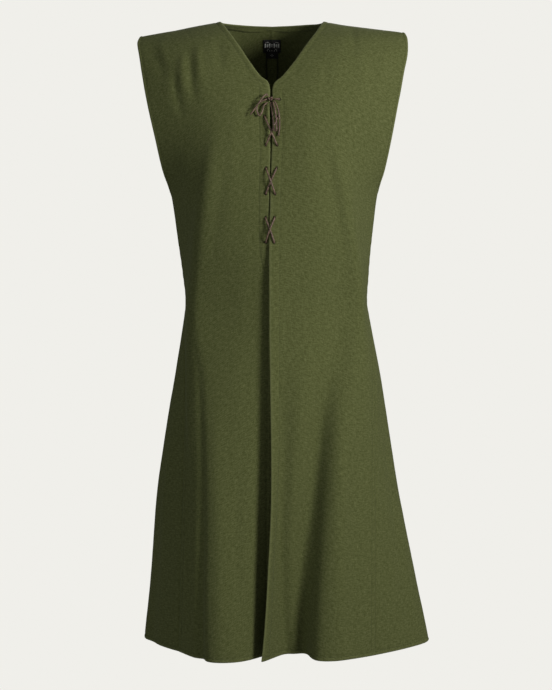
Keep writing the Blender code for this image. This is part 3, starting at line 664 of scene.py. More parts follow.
def spread_under_arm(points, levels):
    """Spreads the bend that the rows have level with the bottom of the armhole."""
    side = points[:, -1, 2] - points[levels.index(ARMHOLE_BOTTOM), -1, 2]
    across = np.array([lengths_along(row) for row in points])
    share = np.exp(-(side / UNDER_ARM_REACH) ** 2)[:, None]
    share = share * eased((across[:, -1:] - across) / SIDE_HELD)
    share = share * eased(across / CENTRE_HELD - CENTRE_FIXED)
    for _ in range(UNDER_ARM_PASSES):
        middle = (points[:-2] + points[2:]) / 2
        points[1:-1] += UNDER_ARM_RATE * share[1:-1, :, None] * (middle - points[1:-1])


def smooth_panels():
    """All six panels before creasing, with normals shared along their seams."""
    levels, gore_levels = row_levels(), row_levels(WAIST)
    points, normals = {}, {}
    for panel in FOLDS:
        rows = gore_levels if panel.startswith("gore") else levels
        points[panel] = smooth_columns(panel_points(panel, rows))
        if not panel.startswith("gore"):
            spread_under_arm(points[panel], levels)
        normals[panel] = grid_normals(points[panel])
    under_arm, waist = levels.index(ARMHOLE_BOTTOM), levels.index(WAIST)
    centre = levels.index(BACK_NECK)
    share_edge(normals["back_left"][centre:, 0], normals["back_right"][centre:, 0])
    for side in ("left", "right"):
        front, back, gore = (normals[f"{kind}_{side}"] for kind in ("front", "back", "gore"))
        seam = points[f"front_{side}"][0, -1] - points[f"front_{side}"][0, 0]
        upright = np.cross(seam, [0.0, 1.0, 0.0])
        upright *= np.sign(upright[2]) / np.linalg.norm(upright)
        front[0] = back[0] = upright
        share_edge(front[under_arm:waist, -1], back[under_arm:waist, -1])
        share_edge(front[waist:, -1], gore[:, 0])
        share_edge(back[waist:, -1], gore[:, -1])
    return {panel: measured_panel(gore_levels if panel.startswith("gore") else levels,
                                  points[panel], normals[panel]) for panel in FOLDS}


# ---- edges, creases and unevenness --------------------------------------------------
CREASE_TAPER = 0.3          # share of a crease's path over which each end fades
LAYER_STEP = 31.7           # keeps the layers of unevenness from repeating each other
PUCKER_DRIFT = 1.7          # how unevenly the puckers are spaced
DRIFT_RADIAN = 41.0         # distance in which that unevenness turns by one radian
PUCKER_REACH = 7.0
PUCKER_START = 3.0          # puckers rise over this distance from a seam
HEM_PUCKER = 0.6            # the hem's puckers against the seams'
DIP_START = 1.0             # a seam's dip begins this far from a free edge
DIP_RAMP = 7.0
SEAM_NORMALS = 4.0          # normals are shared with the neighbour over this distance
TURN_STEP = 1.4             # a turned edge's step ends this far past its stitch line
TURN_SLOPE = 2.0            # and is this wide, as is the rise to its fullness at the fold


def edge_kinds(panel, levels):
    """Whether a panel's start and end edges are free at each level."""
    kind = panel.split("_")[0]
    none = np.zeros(len(levels), bool)
    start = {"front": ~none, "back": levels <= BACK_NECK, "gore": none}[kind]
    end = none if kind == "gore" else levels < ARMHOLE_BOTTOM
    return start, end


def stretch_distance(from_edge, edge_run, on_stretch):
    """Distance of every point from the stretch of one edge where on_stretch is true."""
    if not on_stretch.any():
        return np.full(from_edge.shape, FAR)
    run = edge_run[on_stretch]
    past = np.maximum(run.min() - edge_run, 0) + np.maximum(edge_run - run.max(), 0)
    return np.hypot(from_edge, past[:, None])


def edge_distances(name, panel):
    """Distance of every point from the nearest free edge, and from the nearest seam."""
    start_free, end_free = edge_kinds(name, panel.levels)
    start_run, end_run = panel.down[:, 0], panel.down[:, -1]
    free = np.minimum.reduce([stretch_distance(panel.from_start, start_run, start_free),
                              stretch_distance(panel.from_end, end_run, end_free),
                              panel.from_hem])
    sewn = np.minimum.reduce([stretch_distance(panel.from_start, start_run, ~start_free),
                              stretch_distance(panel.from_end, end_run, ~end_free),
                              panel.from_top])
    return free, sewn


def curved_path(path, steps=4):
    """A crease's own points with more between them, on a smooth curve."""
    points = np.array(path, float)
    ends = np.vstack([2 * points[0] - points[1], points, 2 * points[-1] - points[-2]])
    result = [points[0]]
    for before, here, there, after in zip(ends, ends[1:], ends[2:], ends[3:]):
        for k in range(1, steps + 1):
            result.append(catmull_rom(before, here, there, after, k / steps))
    return np.array(result)


def crease_heights(crease, across, z):
    """How far one crease moves each point outward."""
    path = curved_path(crease.path)
    along = lengths_along(path)
    nearest = np.full(across.shape, np.inf)
    side, share = np.zeros(across.shape), np.zeros(across.shape)
    for a, b, covered in zip(path, path[1:], along):
        run, length = b - a, np.linalg.norm(b - a)
        f = np.clip(((across - a[0]) * run[0] + (z - a[1]) * run[1]) / length ** 2, 0, 1)
        to_x, to_z = across - a[0] - f * run[0], z - a[1] - f * run[1]
        distance = np.hypot(to_x, to_z)
        closer = distance < nearest
        nearest = np.where(closer, distance, nearest)
        side = np.where(closer, to_x, side)
        share = np.where(closer, (covered + f * length) / along[-1], share)
    width = np.where(side < 0, crease.width_low, crease.width_high)
    ridge = crease.height * np.exp(-(nearest / width) ** 2)
    return ridge * eased(share / CREASE_TAPER) * eased((1 - share) / CREASE_TAPER)


def rumple_heights(points):
    """Unevenness over the whole garment, the same on both sides of a seam."""
    height = np.zeros(points.shape[:2])
    for layer, rumple in enumerate(RUMPLES):
        scale = np.array([1 / rumple.across, 1 / rumple.across, 1 / rumple.down])
        places = points * scale + LAYER_STEP * layer
        flat = [noise.noise(Vector(place)) for place in places.reshape(-1, 3)]
        height += rumple.height * np.array(flat).reshape(height.shape)
    return height


def pucker_heights(distance, run):
    """Small uneven waves beside a seam or a row of stitches."""
    drift = PUCKER_DRIFT * np.sin(run / DRIFT_RADIAN)
    waves = np.sin(2 * math.pi * run / PUCKER_PITCH + drift)
    return PUCKER * waves * np.exp(-(distance / PUCKER_REACH) ** 2)


def creased(name, panel):
    """The panel moved along its normals by its creases, seams and unevenness."""
    points, normals = panel.cloth
    free, sewn = edge_distances(name, panel)
    across = points[:, :, 1 if name.startswith("gore") else 0]
    height = sum(crease_heights(crease, across, points[:, :, 2]) for crease in CREASES[name])
    height = height * eased(sewn / CREASE_CLEARANCE)
    height += rumple_heights(points)
    height += pucker_heights(np.minimum(sewn, FAR), panel.down) * eased(sewn / PUCKER_START)
    height += pucker_heights(panel.from_hem - HEM_STITCH, panel.across) * HEM_PUCKER
    height -= SEAM_DIP * np.exp(-(sewn / SEAM_REACH) ** 2) * eased((free - DIP_START) / DIP_RAMP)
    moved = points + normals * height[:, :, None]
    bent = grid_normals(moved)
    keep = eased(sewn / SEAM_NORMALS)[:, :, None]
    bent = bent * keep + normals * (1 - keep)
    bent /= np.linalg.norm(bent, axis=2)[:, :, None]
    return panel._replace(cloth=Cloth(moved, bent))


def stitch_distance(name, panel):
    """Distance of every point from the nearest row of topstitching."""
    kind = name.split("_")[0]
    levels = panel.levels[:, None]
    rows = [abs(panel.from_hem - HEM_STITCH)]
    if kind == "front":
        neck = np.where(levels < CENTRE_EDGE_TOP, NECK_STITCH, SLIT_STITCH)
        rows.append(abs(panel.from_start - neck))
    if kind == "back":
        rows.append(np.where(levels <= BACK_NECK, abs(panel.from_start - NECK_STITCH), FAR))
    if kind != "gore":
        arm = abs(panel.from_end - ARMHOLE_STITCH)
        gore = abs(panel.from_end - GORE_STITCH)
        rows.append(np.where(levels < ARMHOLE_BOTTOM, arm, np.where(levels > WAIST, gore, FAR)))
    return np.minimum.reduce(rows)


def turned_share(name, panel):
    """1 on the doubled cloth of a turned edge, 0 elsewhere, with a short slope between."""
    kind = name.split("_")[0]
    levels = panel.levels[:, None]
    share = eased((HEM_STITCH + TURN_STEP - panel.from_hem) / TURN_SLOPE)
    if kind == "front":
        width = np.where(levels < CENTRE_EDGE_TOP, NECK_STITCH, SLIT_STITCH)
        share = np.maximum(share, eased((width + TURN_STEP - panel.from_start) / TURN_SLOPE))
    if kind != "gore":
        arm = eased((ARMHOLE_STITCH + TURN_STEP - panel.from_end) / TURN_SLOPE)
        share = np.maximum(share, np.where(levels < ARMHOLE_BOTTOM, arm, 0.0))
    return share


def faces_of(name, panel):
    """The outer and inner face of a creased panel, with its turned edges and grooves."""
    points, normals = panel.cloth
    free, _ = edge_distances(name, panel)
    rounded = 1 - RIM_SHARE * np.exp(-(free / RIM_REACH) ** 2)
    fullness = TURNED_FULLNESS * turned_share(name, panel) * eased(free / TURN_SLOPE)
    half = CLOTH / 2 * rounded + fullness
    groove = GROOVE * np.exp(-(stitch_distance(name, panel) / GROOVE_REACH) ** 2)
    lift = (half - groove)[:, :, None]
    return points + normals * lift, points - normals * lift


# ---- meshes -------------------------------------------------------------------------
WEAR_REACH = 2.2            # how far from a free edge its fold is worn
SKEW = (0.31, 0.52, 0.79)   # a direction that no route of a tube starts out along
WALL_BULGE = 0.25           # how far a narrow strip's rim stands out


def placed(name, data):
    """A new object in the scene."""
    obj = bpy.data.objects.new(name, data)
    bpy.context.scene.collection.objects.link(obj)
    return obj


def new_object(name, mesh, material):
    """A smooth piece of the garment, which rides on its one body."""
    mesh.materials.append(material)
    mesh.shade_smooth()
    obj = placed(name, mesh)
    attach(obj, BODY)
    return obj


def mesh_of(name, vertices, faces):
    """A mesh from points in millimetres."""
    mesh = bpy.data.meshes.new(name)
    mesh.from_pydata((np.asarray(vertices) * MM).tolist(), [], faces)
    mesh.validate()
    return mesh


def grid_quads(rows, columns, first=0):
    i, j = np.meshgrid(np.arange(rows - 1), np.arange(columns - 1), indexing="ij")
    corner = (first + i * columns + j).ravel()
    return np.stack([corner, corner + 1, corner + columns + 1, corner + columns], axis=1)


def rim_indices(rows, columns):
    """Grid indices once round the border."""
    rim = [(0, j) for j in range(columns)]
    rim += [(i, columns - 1) for i in range(1, rows)]
    rim += [(rows - 1, j) for j in reversed(range(columns - 1))]
    rim += [(i, 0) for i in reversed(range(1, rows - 1))]
    return np.array(rim)


def beyond_edge(middle, rim, bulge):
    """Points just outside a grid's border, where the cloth's fold turns over."""
    rows, columns = middle.shape[:2]
    inward = np.stack([np.clip(rim[:, 0], 1, rows - 2), np.clip(rim[:, 1], 1, columns - 2)], axis=1)
    edge = middle[rim[:, 0], rim[:, 1]]
    away = unit_rows(edge - middle[inward[:, 0], inward[:, 1]])
    return edge + away * bulge[:, None]


def shell(name, outer, inner, bulge):
    """A closed shell between two grids, with a rounded rim, and the grid place of each vertex."""
    rows, columns = outer.shape[:2]
    count = rows * columns
    rim = rim_indices(rows, columns)
    fold = beyond_edge((outer + inner) / 2, rim, bulge)
    vertices = np.concatenate([outer.reshape(-1, 3), inner.reshape(-1, 3), fold])
    outer_quads = grid_quads(rows, columns)
    inner_quads = grid_quads(rows, columns, count)[:, ::-1]
    a = rim[:, 0] * columns + rim[:, 1]
    b = np.roll(a, -1)
    fold_a = 2 * count + np.arange(len(rim))
    fold_b = np.roll(fold_a, -1)
    rim_quads = np.concatenate([np.stack([b, a, fold_a, fold_b], axis=1),
                                np.stack([fold_b, fold_a, a + count, b + count], axis=1)])
    quads = np.concatenate([outer_quads, inner_quads, rim_quads])
    if outward_volume(vertices, quads) < 0:
        quads = quads[:, ::-1]
    places = np.concatenate([np.arange(count), np.arange(count), a])
    return mesh_of(name, vertices, quads.tolist()), places


def outward_volume(vertices, quads):
    """Above 0 when the faces of a closed mesh point outward."""
    centre = vertices.mean(axis=0)
    a, b, c, d = (vertices[quads[:, k]] - centre for k in range(4))
    return np.sum(np.einsum("ij,ij->i", a, np.cross(b, c)) + np.einsum("ij,ij->i", a, np.cross(c, d)))


def add_cloth_map(mesh, places, across, down):
    """A UV map in metres along the cloth, for the weave."""
    layer = mesh.uv_layers.new(name="cloth")
    corners = np.empty(len(mesh.loops), np.int32)
    mesh.loops.foreach_get("vertex_index", corners)
    where = places[corners]
    uv = np.stack([across.ravel()[where], down.ravel()[where]], axis=1) * MM
    layer.data.foreach_set("uv", uv.astype(np.float32).ravel())


def add_edge_wear(mesh, places, free):
    """A vertex attribute that is 1 on the folds of free edges and fades away from them."""
    wear = np.exp(-(free.ravel()[places] / WEAR_REACH) ** 2)
    attribute = mesh.attributes.new("wear", "FLOAT", "POINT")
    attribute.data.foreach_set("value", wear.astype(np.float32))


CUT_SPACING = 340.0         # the panels are cut side by side from one length of cloth
FOLDED_WITHIN = 1.0         # a border this near a free edge is a fold of the cloth
SEAM_BULGE = 0.12           # the rim stands out less where the cloth is sewn


def add_panel(name, panel, material):
    outer, inner = faces_of(name, panel)
    free, _ = edge_distances(name, panel)
    rim = rim_indices(*outer.shape[:2])
    bulge = np.where(free[rim[:, 0], rim[:, 1]] < FOLDED_WITHIN, RIM_BULGE, SEAM_BULGE)
    mesh, places = shell(f"cloth_{name}", outer, inner, bulge)
    cut_place = CUT_SPACING * list(FOLDS).index(name)
    add_cloth_map(mesh, places, panel.across + cut_place, panel.down)
    add_edge_wear(mesh, places, free)
    obj = new_object(f"cloth_{name}", mesh, material)
    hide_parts(name)
    return obj


def add_wall(name, outer, inner, material, bulge=WALL_BULGE):
    """A narrow strip or tab as a closed shell, with its own cloth map."""
    rim = rim_indices(*outer.shape[:2])
    mesh, places = shell(name, outer, inner, np.full(len(rim), bulge))
    add_cloth_map(mesh, places, *grid_lengths(outer))
    return new_object(name, mesh, material)


# ---- inside: seam allowances, overlock, neck band -----------------------------------
ALLOWANCE_NEAR = 1.08       # from the cloth's middle to the allowance pressed against it
ALLOWANCE_FAR = 1.85


def allowance_grids(panel, rows, columns):
    """The two faces of a seam allowance lying on a panel's inner face."""
    points = panel.cloth.points[rows, columns]
    normals = panel.cloth.normals[rows, columns]
    return points - normals * ALLOWANCE_NEAR, points - normals * ALLOWANCE_FAR


def seam_slices(name, panel):
    """Where each seam allowance lies on a panel's grid: (label, rows, columns, raw edge)."""
    kind = name.split("_")[0]
    levels = list(panel.levels)
    wide = SIDE_STATIONS.index(SEAM_ALLOWANCE) + 1
    found = []
    if kind == "gore":
        first = next(i for i, length in enumerate(panel.across[:, -1]) if length > 3 * SEAM_ALLOWANCE)
        found.append(("front", slice(first, -3), slice(0, wide), -1))
        found.append(("rear", slice(first, -3), slice(-wide, None), 0))
        return found
    under_arm = levels.index(ARMHOLE_BOTTOM)
    found.append(("side", slice(under_arm + 2, -3), slice(-wide, None), 0))
    if kind == "back":
        below_band = next(i for i, z in enumerate(panel.cloth.points[:, 0, 2]) if z < BACK_NECK_DEPTH)
        centre = CENTRE_STATIONS.index(SEAM_ALLOWANCE) + 1
        found.append(("centre", slice(below_band, -3), slice(0, centre), -1))
    return found


def ring_quads(rings, sides):
    """Faces between closed rings of vertices, each ring joined to the next."""
    faces = []
    for i in range(rings - 1):
        for k in range(sides):
            n = (k + 1) % sides
            faces.append((i * sides + k, i * sides + n, (i + 1) * sides + n, (i + 1) * sides + k))
    return faces


def tube(route, radius, sides):
    """Vertices and faces of a closed tube along a line of points."""
    route = np.asarray(route, float)
    tangents = unit_rows(np.gradient(route, axis=0))
    side = np.cross(tangents[0], SKEW)
    rings = []
    radii = np.broadcast_to(radius, (len(route),))
    angles = 2 * math.pi * np.arange(sides) / sides
    for point, tangent, r in zip(route, tangents, radii):
        side = side - tangent * np.dot(side, tangent)
        side /= np.linalg.norm(side)
        up = np.cross(tangent, side)
        rings.append(point + r * (np.outer(np.cos(angles), side) + np.outer(np.sin(angles), up)))
    vertices = np.vstack(rings + [route[:1], route[-1:]])
    faces = ring_quads(len(route), sides)
    start, end = len(vertices) - 2, len(vertices) - 1
    last = (len(route) - 1) * sides
    for k in range(sides):
        n = (k + 1) % sides
        faces.append((start, n, k))
        faces.append((end, last + k, last + n))
    return vertices, faces


def joined(parts):
    """Several meshes' vertices and faces as one."""
    vertices, faces, count = [], [], 0
    for part_vertices, part_faces in parts:
        vertices.append(part_vertices)
        faces += [tuple(count + v for v in face) for face in part_faces]
        count += len(part_vertices)
    return np.vstack(vertices), faces


def add_joined(name, parts, material):
    """Several small meshes as one piece."""
    return new_object(name, mesh_of(name, *joined(parts)), material)


def resampled(points, pitch):
    """Points at even places along a line of points, about pitch apart."""
    along = lengths_along(points)
    count = max(2, int(along[-1] / pitch))
    places = np.linspace(0, along[-1], count + 1)
    return np.stack([np.interp(places, along, points[:, k]) for k in range(3)], axis=1)


OVERLOCK_PITCH = 2.2
OVERLOCK_WIDTH = 3.2
OVERLOCK_RADIUS = 0.42
OVERLOCK_OVERHANG = 0.25    # past the raw edge
OVERLOCK_LIFT = 0.6         # in radii, from the allowance's face
THREAD_SIDES = 4


def overlock(edge, inner_line, normals):
    """The zigzag thread over the raw edge of an allowance."""
    edge_points = resampled(edge, OVERLOCK_PITCH / 2)
    inward = resampled(inner_line, OVERLOCK_PITCH / 2)
    inward = inward[:len(edge_points)]
    edge_points = edge_points[:len(inward)]
    reach = unit_rows(inward - edge_points)
    zigzag = np.where(np.arange(len(edge_points)) % 2, OVERLOCK_WIDTH, -OVERLOCK_OVERHANG)[:, None]
    facing = normals.mean(axis=0)
    facing /= np.linalg.norm(facing)
    route = edge_points + reach * zigzag - facing * OVERLOCK_RADIUS * OVERLOCK_LIFT
    return tube(route, OVERLOCK_RADIUS, THREAD_SIDES)


def add_allowances(panels, wool, thread):
    """Seam allowances of every panel, each with its overlocked raw edge, by panel."""
    added = {}
    for name, panel in panels.items():
        threads, added[name] = [], []
        for label, rows, columns, raw in seam_slices(name, panel):
            near, far = allowance_grids(panel, rows, columns)
            strip = add_wall(f"allowance_{label}_{name}", near, far, wool)
            added[name].append(strip)
            step = -1 if raw == -1 else 1
            threads.append(overlock(far[:, raw], far[:, raw + 3 * step],
                                    panel.cloth.normals[rows, columns][:, raw]))
        added[name].append(add_joined(f"overlock_{name}", threads, thread))
    return added


BAND_TOP_ROW = 2            # the band starts just clear of the shoulder seam
BAND_FOLD = 0.35            # the band's folded edges stand a little fuller than its middle
BAND_FOLD_REACH = 0.09      # in shares of the band's width
BAND_BULGE = 0.4
BAND_GROOVE = 0.3           # how deep the band's own row of stitches pulls in
BAND_GROOVE_REACH = 0.07
BACK_NECK_DEPTH = -17.0     # the centre-back seam's allowances show from here down


def band_rows(panel):
    """Points and normals of the turned band on one back panel, row by row from its shoulder."""
    last = list(panel.levels).index(BACK_NECK)
    wide = [k for k, d in enumerate(CENTRE_STATIONS) if d <= BAND_WIDTH - 1]
    points, normals = panel.cloth
    return points[BAND_TOP_ROW:last + 1, wide], normals[BAND_TOP_ROW:last + 1, wide]


def add_neck_band(panels, material):
    right_points, right_normals = band_rows(panels["back_right"])
    left_points, left_normals = band_rows(panels["back_left"])
    points = np.vstack([right_points, left_points[-2::-1]])
    inward = -np.vstack([right_normals, left_normals[-2::-1]])
    across = np.array([lengths_along(row) for row in points])
    share = across / across[:, -1:]
    folds = [np.exp(-(edge / BAND_FOLD_REACH) ** 2) for edge in (share, 1 - share)]
    fold = BAND_FOLD * (folds[0] + folds[1])
    groove = BAND_GROOVE * np.exp(-((share - 0.5) / BAND_GROOVE_REACH) ** 2)
    near = points + inward * (CLOTH / 2 + BAND_LIFT)
    far = near + inward * (BAND_THICKNESS + fold - groove)[:, :, None]
    band = add_wall("band_back_neck", near, far, material, BAND_BULGE)
    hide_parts("neck_band")
    return band, far, inward


# ---- stitches -----------------------------------------------------------------------
STITCH_PITCH = 3.3
STITCH_LENGTH = 2.5
STITCH_RADIUS = 0.34
STITCH_SINK = 0.05
STITCH_START = 0.4          # from the end of a line to its first stitch
# Where a stitch's route goes, as (share of its length, height in radii), and how thick it is.
STITCH_PROFILE = ((0.0, -1.0), (0.2, 0.45), (0.5, 0.7), (0.8, 0.45), (1.0, -1.0))
STITCH_THICKNESS = np.array([0.6, 1.0, 1.0, 1.0, 0.6])


def stitch(start, end, normal, radius):
    """One stitch: a short thread that dips into the cloth at both ends."""
    run = end - start
    route = [start + run * share + normal * radius * height for share, height in STITCH_PROFILE]
    return tube(route, STITCH_THICKNESS * radius, THREAD_SIDES)


def stitch_row(line, normals, pitch=STITCH_PITCH):
    """Stitches along a line of points on the cloth."""
    along = lengths_along(line)
    count = int(along[-1] / pitch)
    parts = []
    for k in range(count):
        places = np.array([k * pitch, k * pitch + STITCH_LENGTH]) + STITCH_START
        ends = np.stack([np.interp(places, along, line[:, axis]) for axis in range(3)], axis=1)
        normal = np.array([np.interp(places[0], along, normals[:, axis]) for axis in range(3)])
        normal /= np.linalg.norm(normal)
        parts.append(stitch(*(ends - normal * STITCH_SINK), normal, STITCH_RADIUS))
    return parts


def stitch_lines(name, panel):
    """Grid slices of a panel's rows of stitches."""
    kind = name.split("_")[0]
    levels = list(panel.levels)
    hem = len(levels) - 1 - HEM_STATIONS.index(HEM_STITCH)
    lines = [(slice(hem, hem + 1), slice(1, -1))]
    arm = -1 - SIDE_STATIONS.index(ARMHOLE_STITCH)
    gore = -1 - SIDE_STATIONS.index(GORE_STITCH)
    neck = CENTRE_STATIONS.index(NECK_STITCH)
    slit = CENTRE_STATIONS.index(SLIT_STITCH)
    if kind == "gore":
        return lines
    under_arm = levels.index(ARMHOLE_BOTTOM)
    waist = levels.index(WAIST)
    lines.append((slice(1, under_arm), slice(arm, arm + 1)))
    lines.append((slice(waist + 2, hem), slice(gore, gore + 1)))
    if kind == "front":
        turn = levels.index(CENTRE_EDGE_TOP)
        lines.append((slice(1, turn + 1), slice(neck, neck + 1)))
        lines.append((slice(turn, hem), slice(slit, slit + 1)))
    else:
        lines.append((slice(1, levels.index(BACK_NECK) + 1), slice(neck, neck + 1)))
    return lines


def add_stitches(panels, thread):
    """The topstitching of each panel, on both faces, as one piece a panel."""
    added = {}
    for name, panel in panels.items():
        outer, inner = faces_of(name, panel)
        normals = panel.cloth.normals
        parts = []
        for rows, columns in stitch_lines(name, panel):
            facing = normals[rows, columns].reshape(-1, 3)
            parts += stitch_row(outer[rows, columns].reshape(-1, 3), facing)
            parts += stitch_row(inner[rows, columns].reshape(-1, 3), -facing)
        added[name] = [add_joined(f"topstitch_{name}", parts, thread)]
    return added


# ---- places on the cloth ------------------------------------------------------------
NEWTON_STEPS = 30
LONGEST_STEP = 0.5          # in grid steps, so that the search can't overshoot
GRID_NUDGE = 0.02           # the part of a grid step over which slopes are measured


def on_cloth(cloth, row, column):
    """A point and its outward normal at a place between a panel's grid points."""
    i = int(min(max(row, 0), cloth.points.shape[0] - 2))
    j = int(min(max(column, 0), cloth.points.shape[1] - 2))
    f, g = row - i, column - j
    blend = [(1 - f) * (1 - g) * grid[i, j] + (1 - f) * g * grid[i, j + 1]
             + f * (1 - g) * grid[i + 1, j] + f * g * grid[i + 1, j + 1] for grid in cloth]
    return blend[0], blend[1] / np.linalg.norm(blend[1])


def slopes(cloth, row, column):
    """How a place's point moves for one grid step down and one across."""
    here, _ = on_cloth(cloth, row, column)
    down = (on_cloth(cloth, row + GRID_NUDGE, column)[0] - here) / GRID_NUDGE
    across = (on_cloth(cloth, row, column + GRID_NUDGE)[0] - here) / GRID_NUDGE
    return here, down, across


def find_on_cloth(cloth, x, z):
    """The place on the cloth that lies at x and z, by Newton's method."""
    miss = (cloth.points[:, :, 0] - x) ** 2 + (cloth.points[:, :, 2] - z) ** 2
    row, column = np.unravel_index(np.argmin(miss), miss.shape)
    for _ in range(NEWTON_STEPS):
        here, down, across = slopes(cloth, row, column)
        jacobian = np.array([[down[0], across[0]], [down[2], across[2]]])
        move = np.linalg.solve(jacobian, [x - here[0], z - here[2]])
        row_step, column_step = np.clip(move, -LONGEST_STEP, LONGEST_STEP)
        row += row_step
        column = max(column + column_step, 0.0)
    return row, column


# ---- lace and bow -------------------------------------------------------------------
def eyelet(cloths, row, side):
    """Centre and outward normal of one eyelet."""
    x = EYELETS[row].x_left if side == "left" else EYELETS[row].x_right
    cloth = cloths[f"front_{side}"]
    return on_cloth(cloth, *find_on_cloth(cloth, x, EYELETS[row].z))


def strand(cloths, first_side, crossing_lift):
    """One half of the lace, from the knot down to the lowest eyelets.

    It goes in at the top row, out at the second, crosses over the slit to the third,
    and so on: rows 0, 2, 4 and 6 take it inward, and it crosses before rows 2, 4 and 6.
    """
    other = {"left": "right", "right": "left"}
    side, route, face, leaving = first_side, [], 1, None
    for row in range(len(EYELETS)):
        crosses = row >= 2 and row % 2 == 0
        if crosses:
            side = other[side]
        centre, normal = eyelet(cloths, row, side)
        if leaving is not None:
            run = centre - leaving
            run /= np.linalg.norm(run)
            if crosses:
                middle = (leaving + centre) / 2
                middle[1] = min(leaving[1], centre[1])      # clear of the forward edge
                route.append(middle + normal * crossing_lift)
        else:
            run = np.array([1.0 if side == "left" else -1.0, 0.0, 0.0])
        route.append(centre - run * EYELET_LEAD + normal * face * LACE_LIFT)
        face = -face
        route.append(centre + EYELET_LEAD * DOWN + normal * face * LACE_LIFT)
        leaving = centre
    return route


def breast_y(z):
    """How far forward the breast's cloth lies at height z, on the centre line."""
    rows = FRONT["right"]
    return np.interp(-z, [-row.z_in for row in rows], [row.y_in for row in rows])


def before_breast(route):
    """Turns (x, lift, z) into points, with lift counted forward from the cloth."""
    return [np.array([x, breast_y(z) - lift, z]) for x, lift, z in route]


def smooth_route(route):
    """Points on a smooth curve through a route's own points, about LACE_STEP apart."""
    points = [np.array(p, float) for p in route]
    ends = [2 * points[0] - points[1]] + points + [2 * points[-1] - points[-2]]
    result = [points[0]]
    for before, here, there, after in zip(ends, ends[1:], ends[2:], ends[3:]):
        length = np.linalg.norm(there - here)
        knots = [max(np.linalg.norm(b - a), 1e-6) ** 0.5
                 for a, b in ((before, here), (here, there), (there, after))]
        leave = slope(before, here, there, knots[0], knots[1]) * knots[1]
        arrive = slope(here, there, after, knots[1], knots[2]) * knots[1]
        count = max(1, round(length / LACE_STEP))
        for k in range(1, count + 1):
            f = k / count
            result.append((2 * f ** 3 - 3 * f ** 2 + 1) * here + (f ** 3 - 2 * f ** 2 + f) * leave
                          + (3 * f ** 2 - 2 * f ** 3) * there + (f ** 3 - f ** 2) * arrive)
    return np.array(result)


def slope(before, here, after, knot_before, knot_after):
    """Direction of travel at here on a centripetal Catmull-Rom curve."""
    return ((here - before) / knot_before - (after - before) / (knot_before + knot_after)
            + (after - here) / knot_after)


LACE_STEP = 1.6             # between the fine lace's rings
LACE_SIDES = 10
THONG_FLATNESS = 0.16       # the leather is cut a little square
LACE_ROUGHNESS = 0.05       # how much its thickness varies
ROUGHNESS_PITCH = 9.0
THONG_END = 0.8             # a thong's ends have this share of its thickness
KNOT_STEPS = 96
KNOT_FLATNESS = 0.8         # how much of the knot's depth its crossings use


def thong(name, route, material, node):
    """A leather thong: a tube with slightly square sides and uneven thickness."""
    route = np.asarray(route, float)
    along = lengths_along(route)
    uneven = [noise.noise(Vector((s / ROUGHNESS_PITCH, len(name), 0.5))) for s in along]
    radius = LACE_DIAMETER / 2 * (1 + LACE_ROUGHNESS * np.array(uneven))
    radius[0] *= THONG_END
    radius[-1] *= THONG_END
    vertices, faces = tube(route, radius, LACE_SIDES)
    rings = vertices[:-2].reshape(len(route), LACE_SIDES, 3)
    angles = 2 * math.pi * np.arange(LACE_SIDES) / LACE_SIDES
    square = 1 + THONG_FLATNESS * np.cos(4 * angles) / 2
    rings[:] = route[:, None] + (rings - route[:, None]) * square[None, :, None]
    vertices[:-2] = rings.reshape(-1, 3)
    mesh = mesh_of(name, vertices, faces)
    obj = new_object(name, mesh, material)
    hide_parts(node)
    return obj


def knot_route():
    """A tight overhand knot that fills the CAD knot's space."""
    angle = np.linspace(0, 2 * math.pi, KNOT_STEPS, endpoint=False)
    centre = before_breast([KNOT_CENTRE])[0]
    reach = np.array(KNOT_HALF_SIZE) - LACE_DIAMETER / 2
    x = (np.sin(angle) + 2 * np.sin(2 * angle)) / 3
    z = (np.cos(angle) - 2 * np.cos(2 * angle)) / 3
    y = np.sin(3 * angle)
    return centre + np.stack([x * reach[0], y * reach[1] * KNOT_FLATNESS, z * reach[2]], axis=1)


def add_lacing(cloths, leather):
    under = strand(cloths, "right", CROSSING_LIFT)
    over = strand(cloths, "left", CROSSING_LIFT + OVER_LIFT)
    starts = before_breast([KNOT_RIGHT_SIDE, KNOT_LEFT_SIDE])
    turn = (under[-1] + over[-1]) / 2 + TURN_DEPTH
    route = [starts[0]] + under + [turn] + over[::-1] + [starts[1]]
    thong("thong_lace", smooth_route(route), leather, "lace")
    thong("thong_knot", knot_route(), leather, "bow_knot")
    for name, bow_route in BOW.items():
        line = smooth_route(before_breast(bow_route))
        piece = thong(f"thong_{name}", line, leather, name)


EYELET_STITCHES = 18
EYELET_RIM = 1.3            # how far the worked rim reaches from the hole
EYELET_INSET = 0.15         # the rim's stitches start this far inside the hole
EYELET_SIDES = 16


def cut_eyelets(cloths, pieces):
    """Cuts the seven lace holes of each front through its cloth."""
    for side in ("right", "left"):
        parts = []
        for row in range(len(EYELETS)):
            centre, normal = eyelet(cloths, row, side)
            ends = [centre - normal * 2 * CLOTH, centre + normal * 2 * CLOTH]
            parts.append(tube(ends, EYELET_DIAMETER / 2, EYELET_SIDES))
        cutter = placed("eyelet_cutter", mesh_of("eyelet_cutter", *joined(parts)))
        front = pieces[f"front_{side}"]
        cut = front.modifiers.new("eyelets", "BOOLEAN")
        cut.operation = "DIFFERENCE"
        cut.solver = "EXACT"
        cut.object = cutter
        bpy.context.view_layer.objects.active = front
        bpy.ops.object.modifier_apply(modifier=cut.name)
        bpy.data.objects.remove(cutter, do_unlink=True)


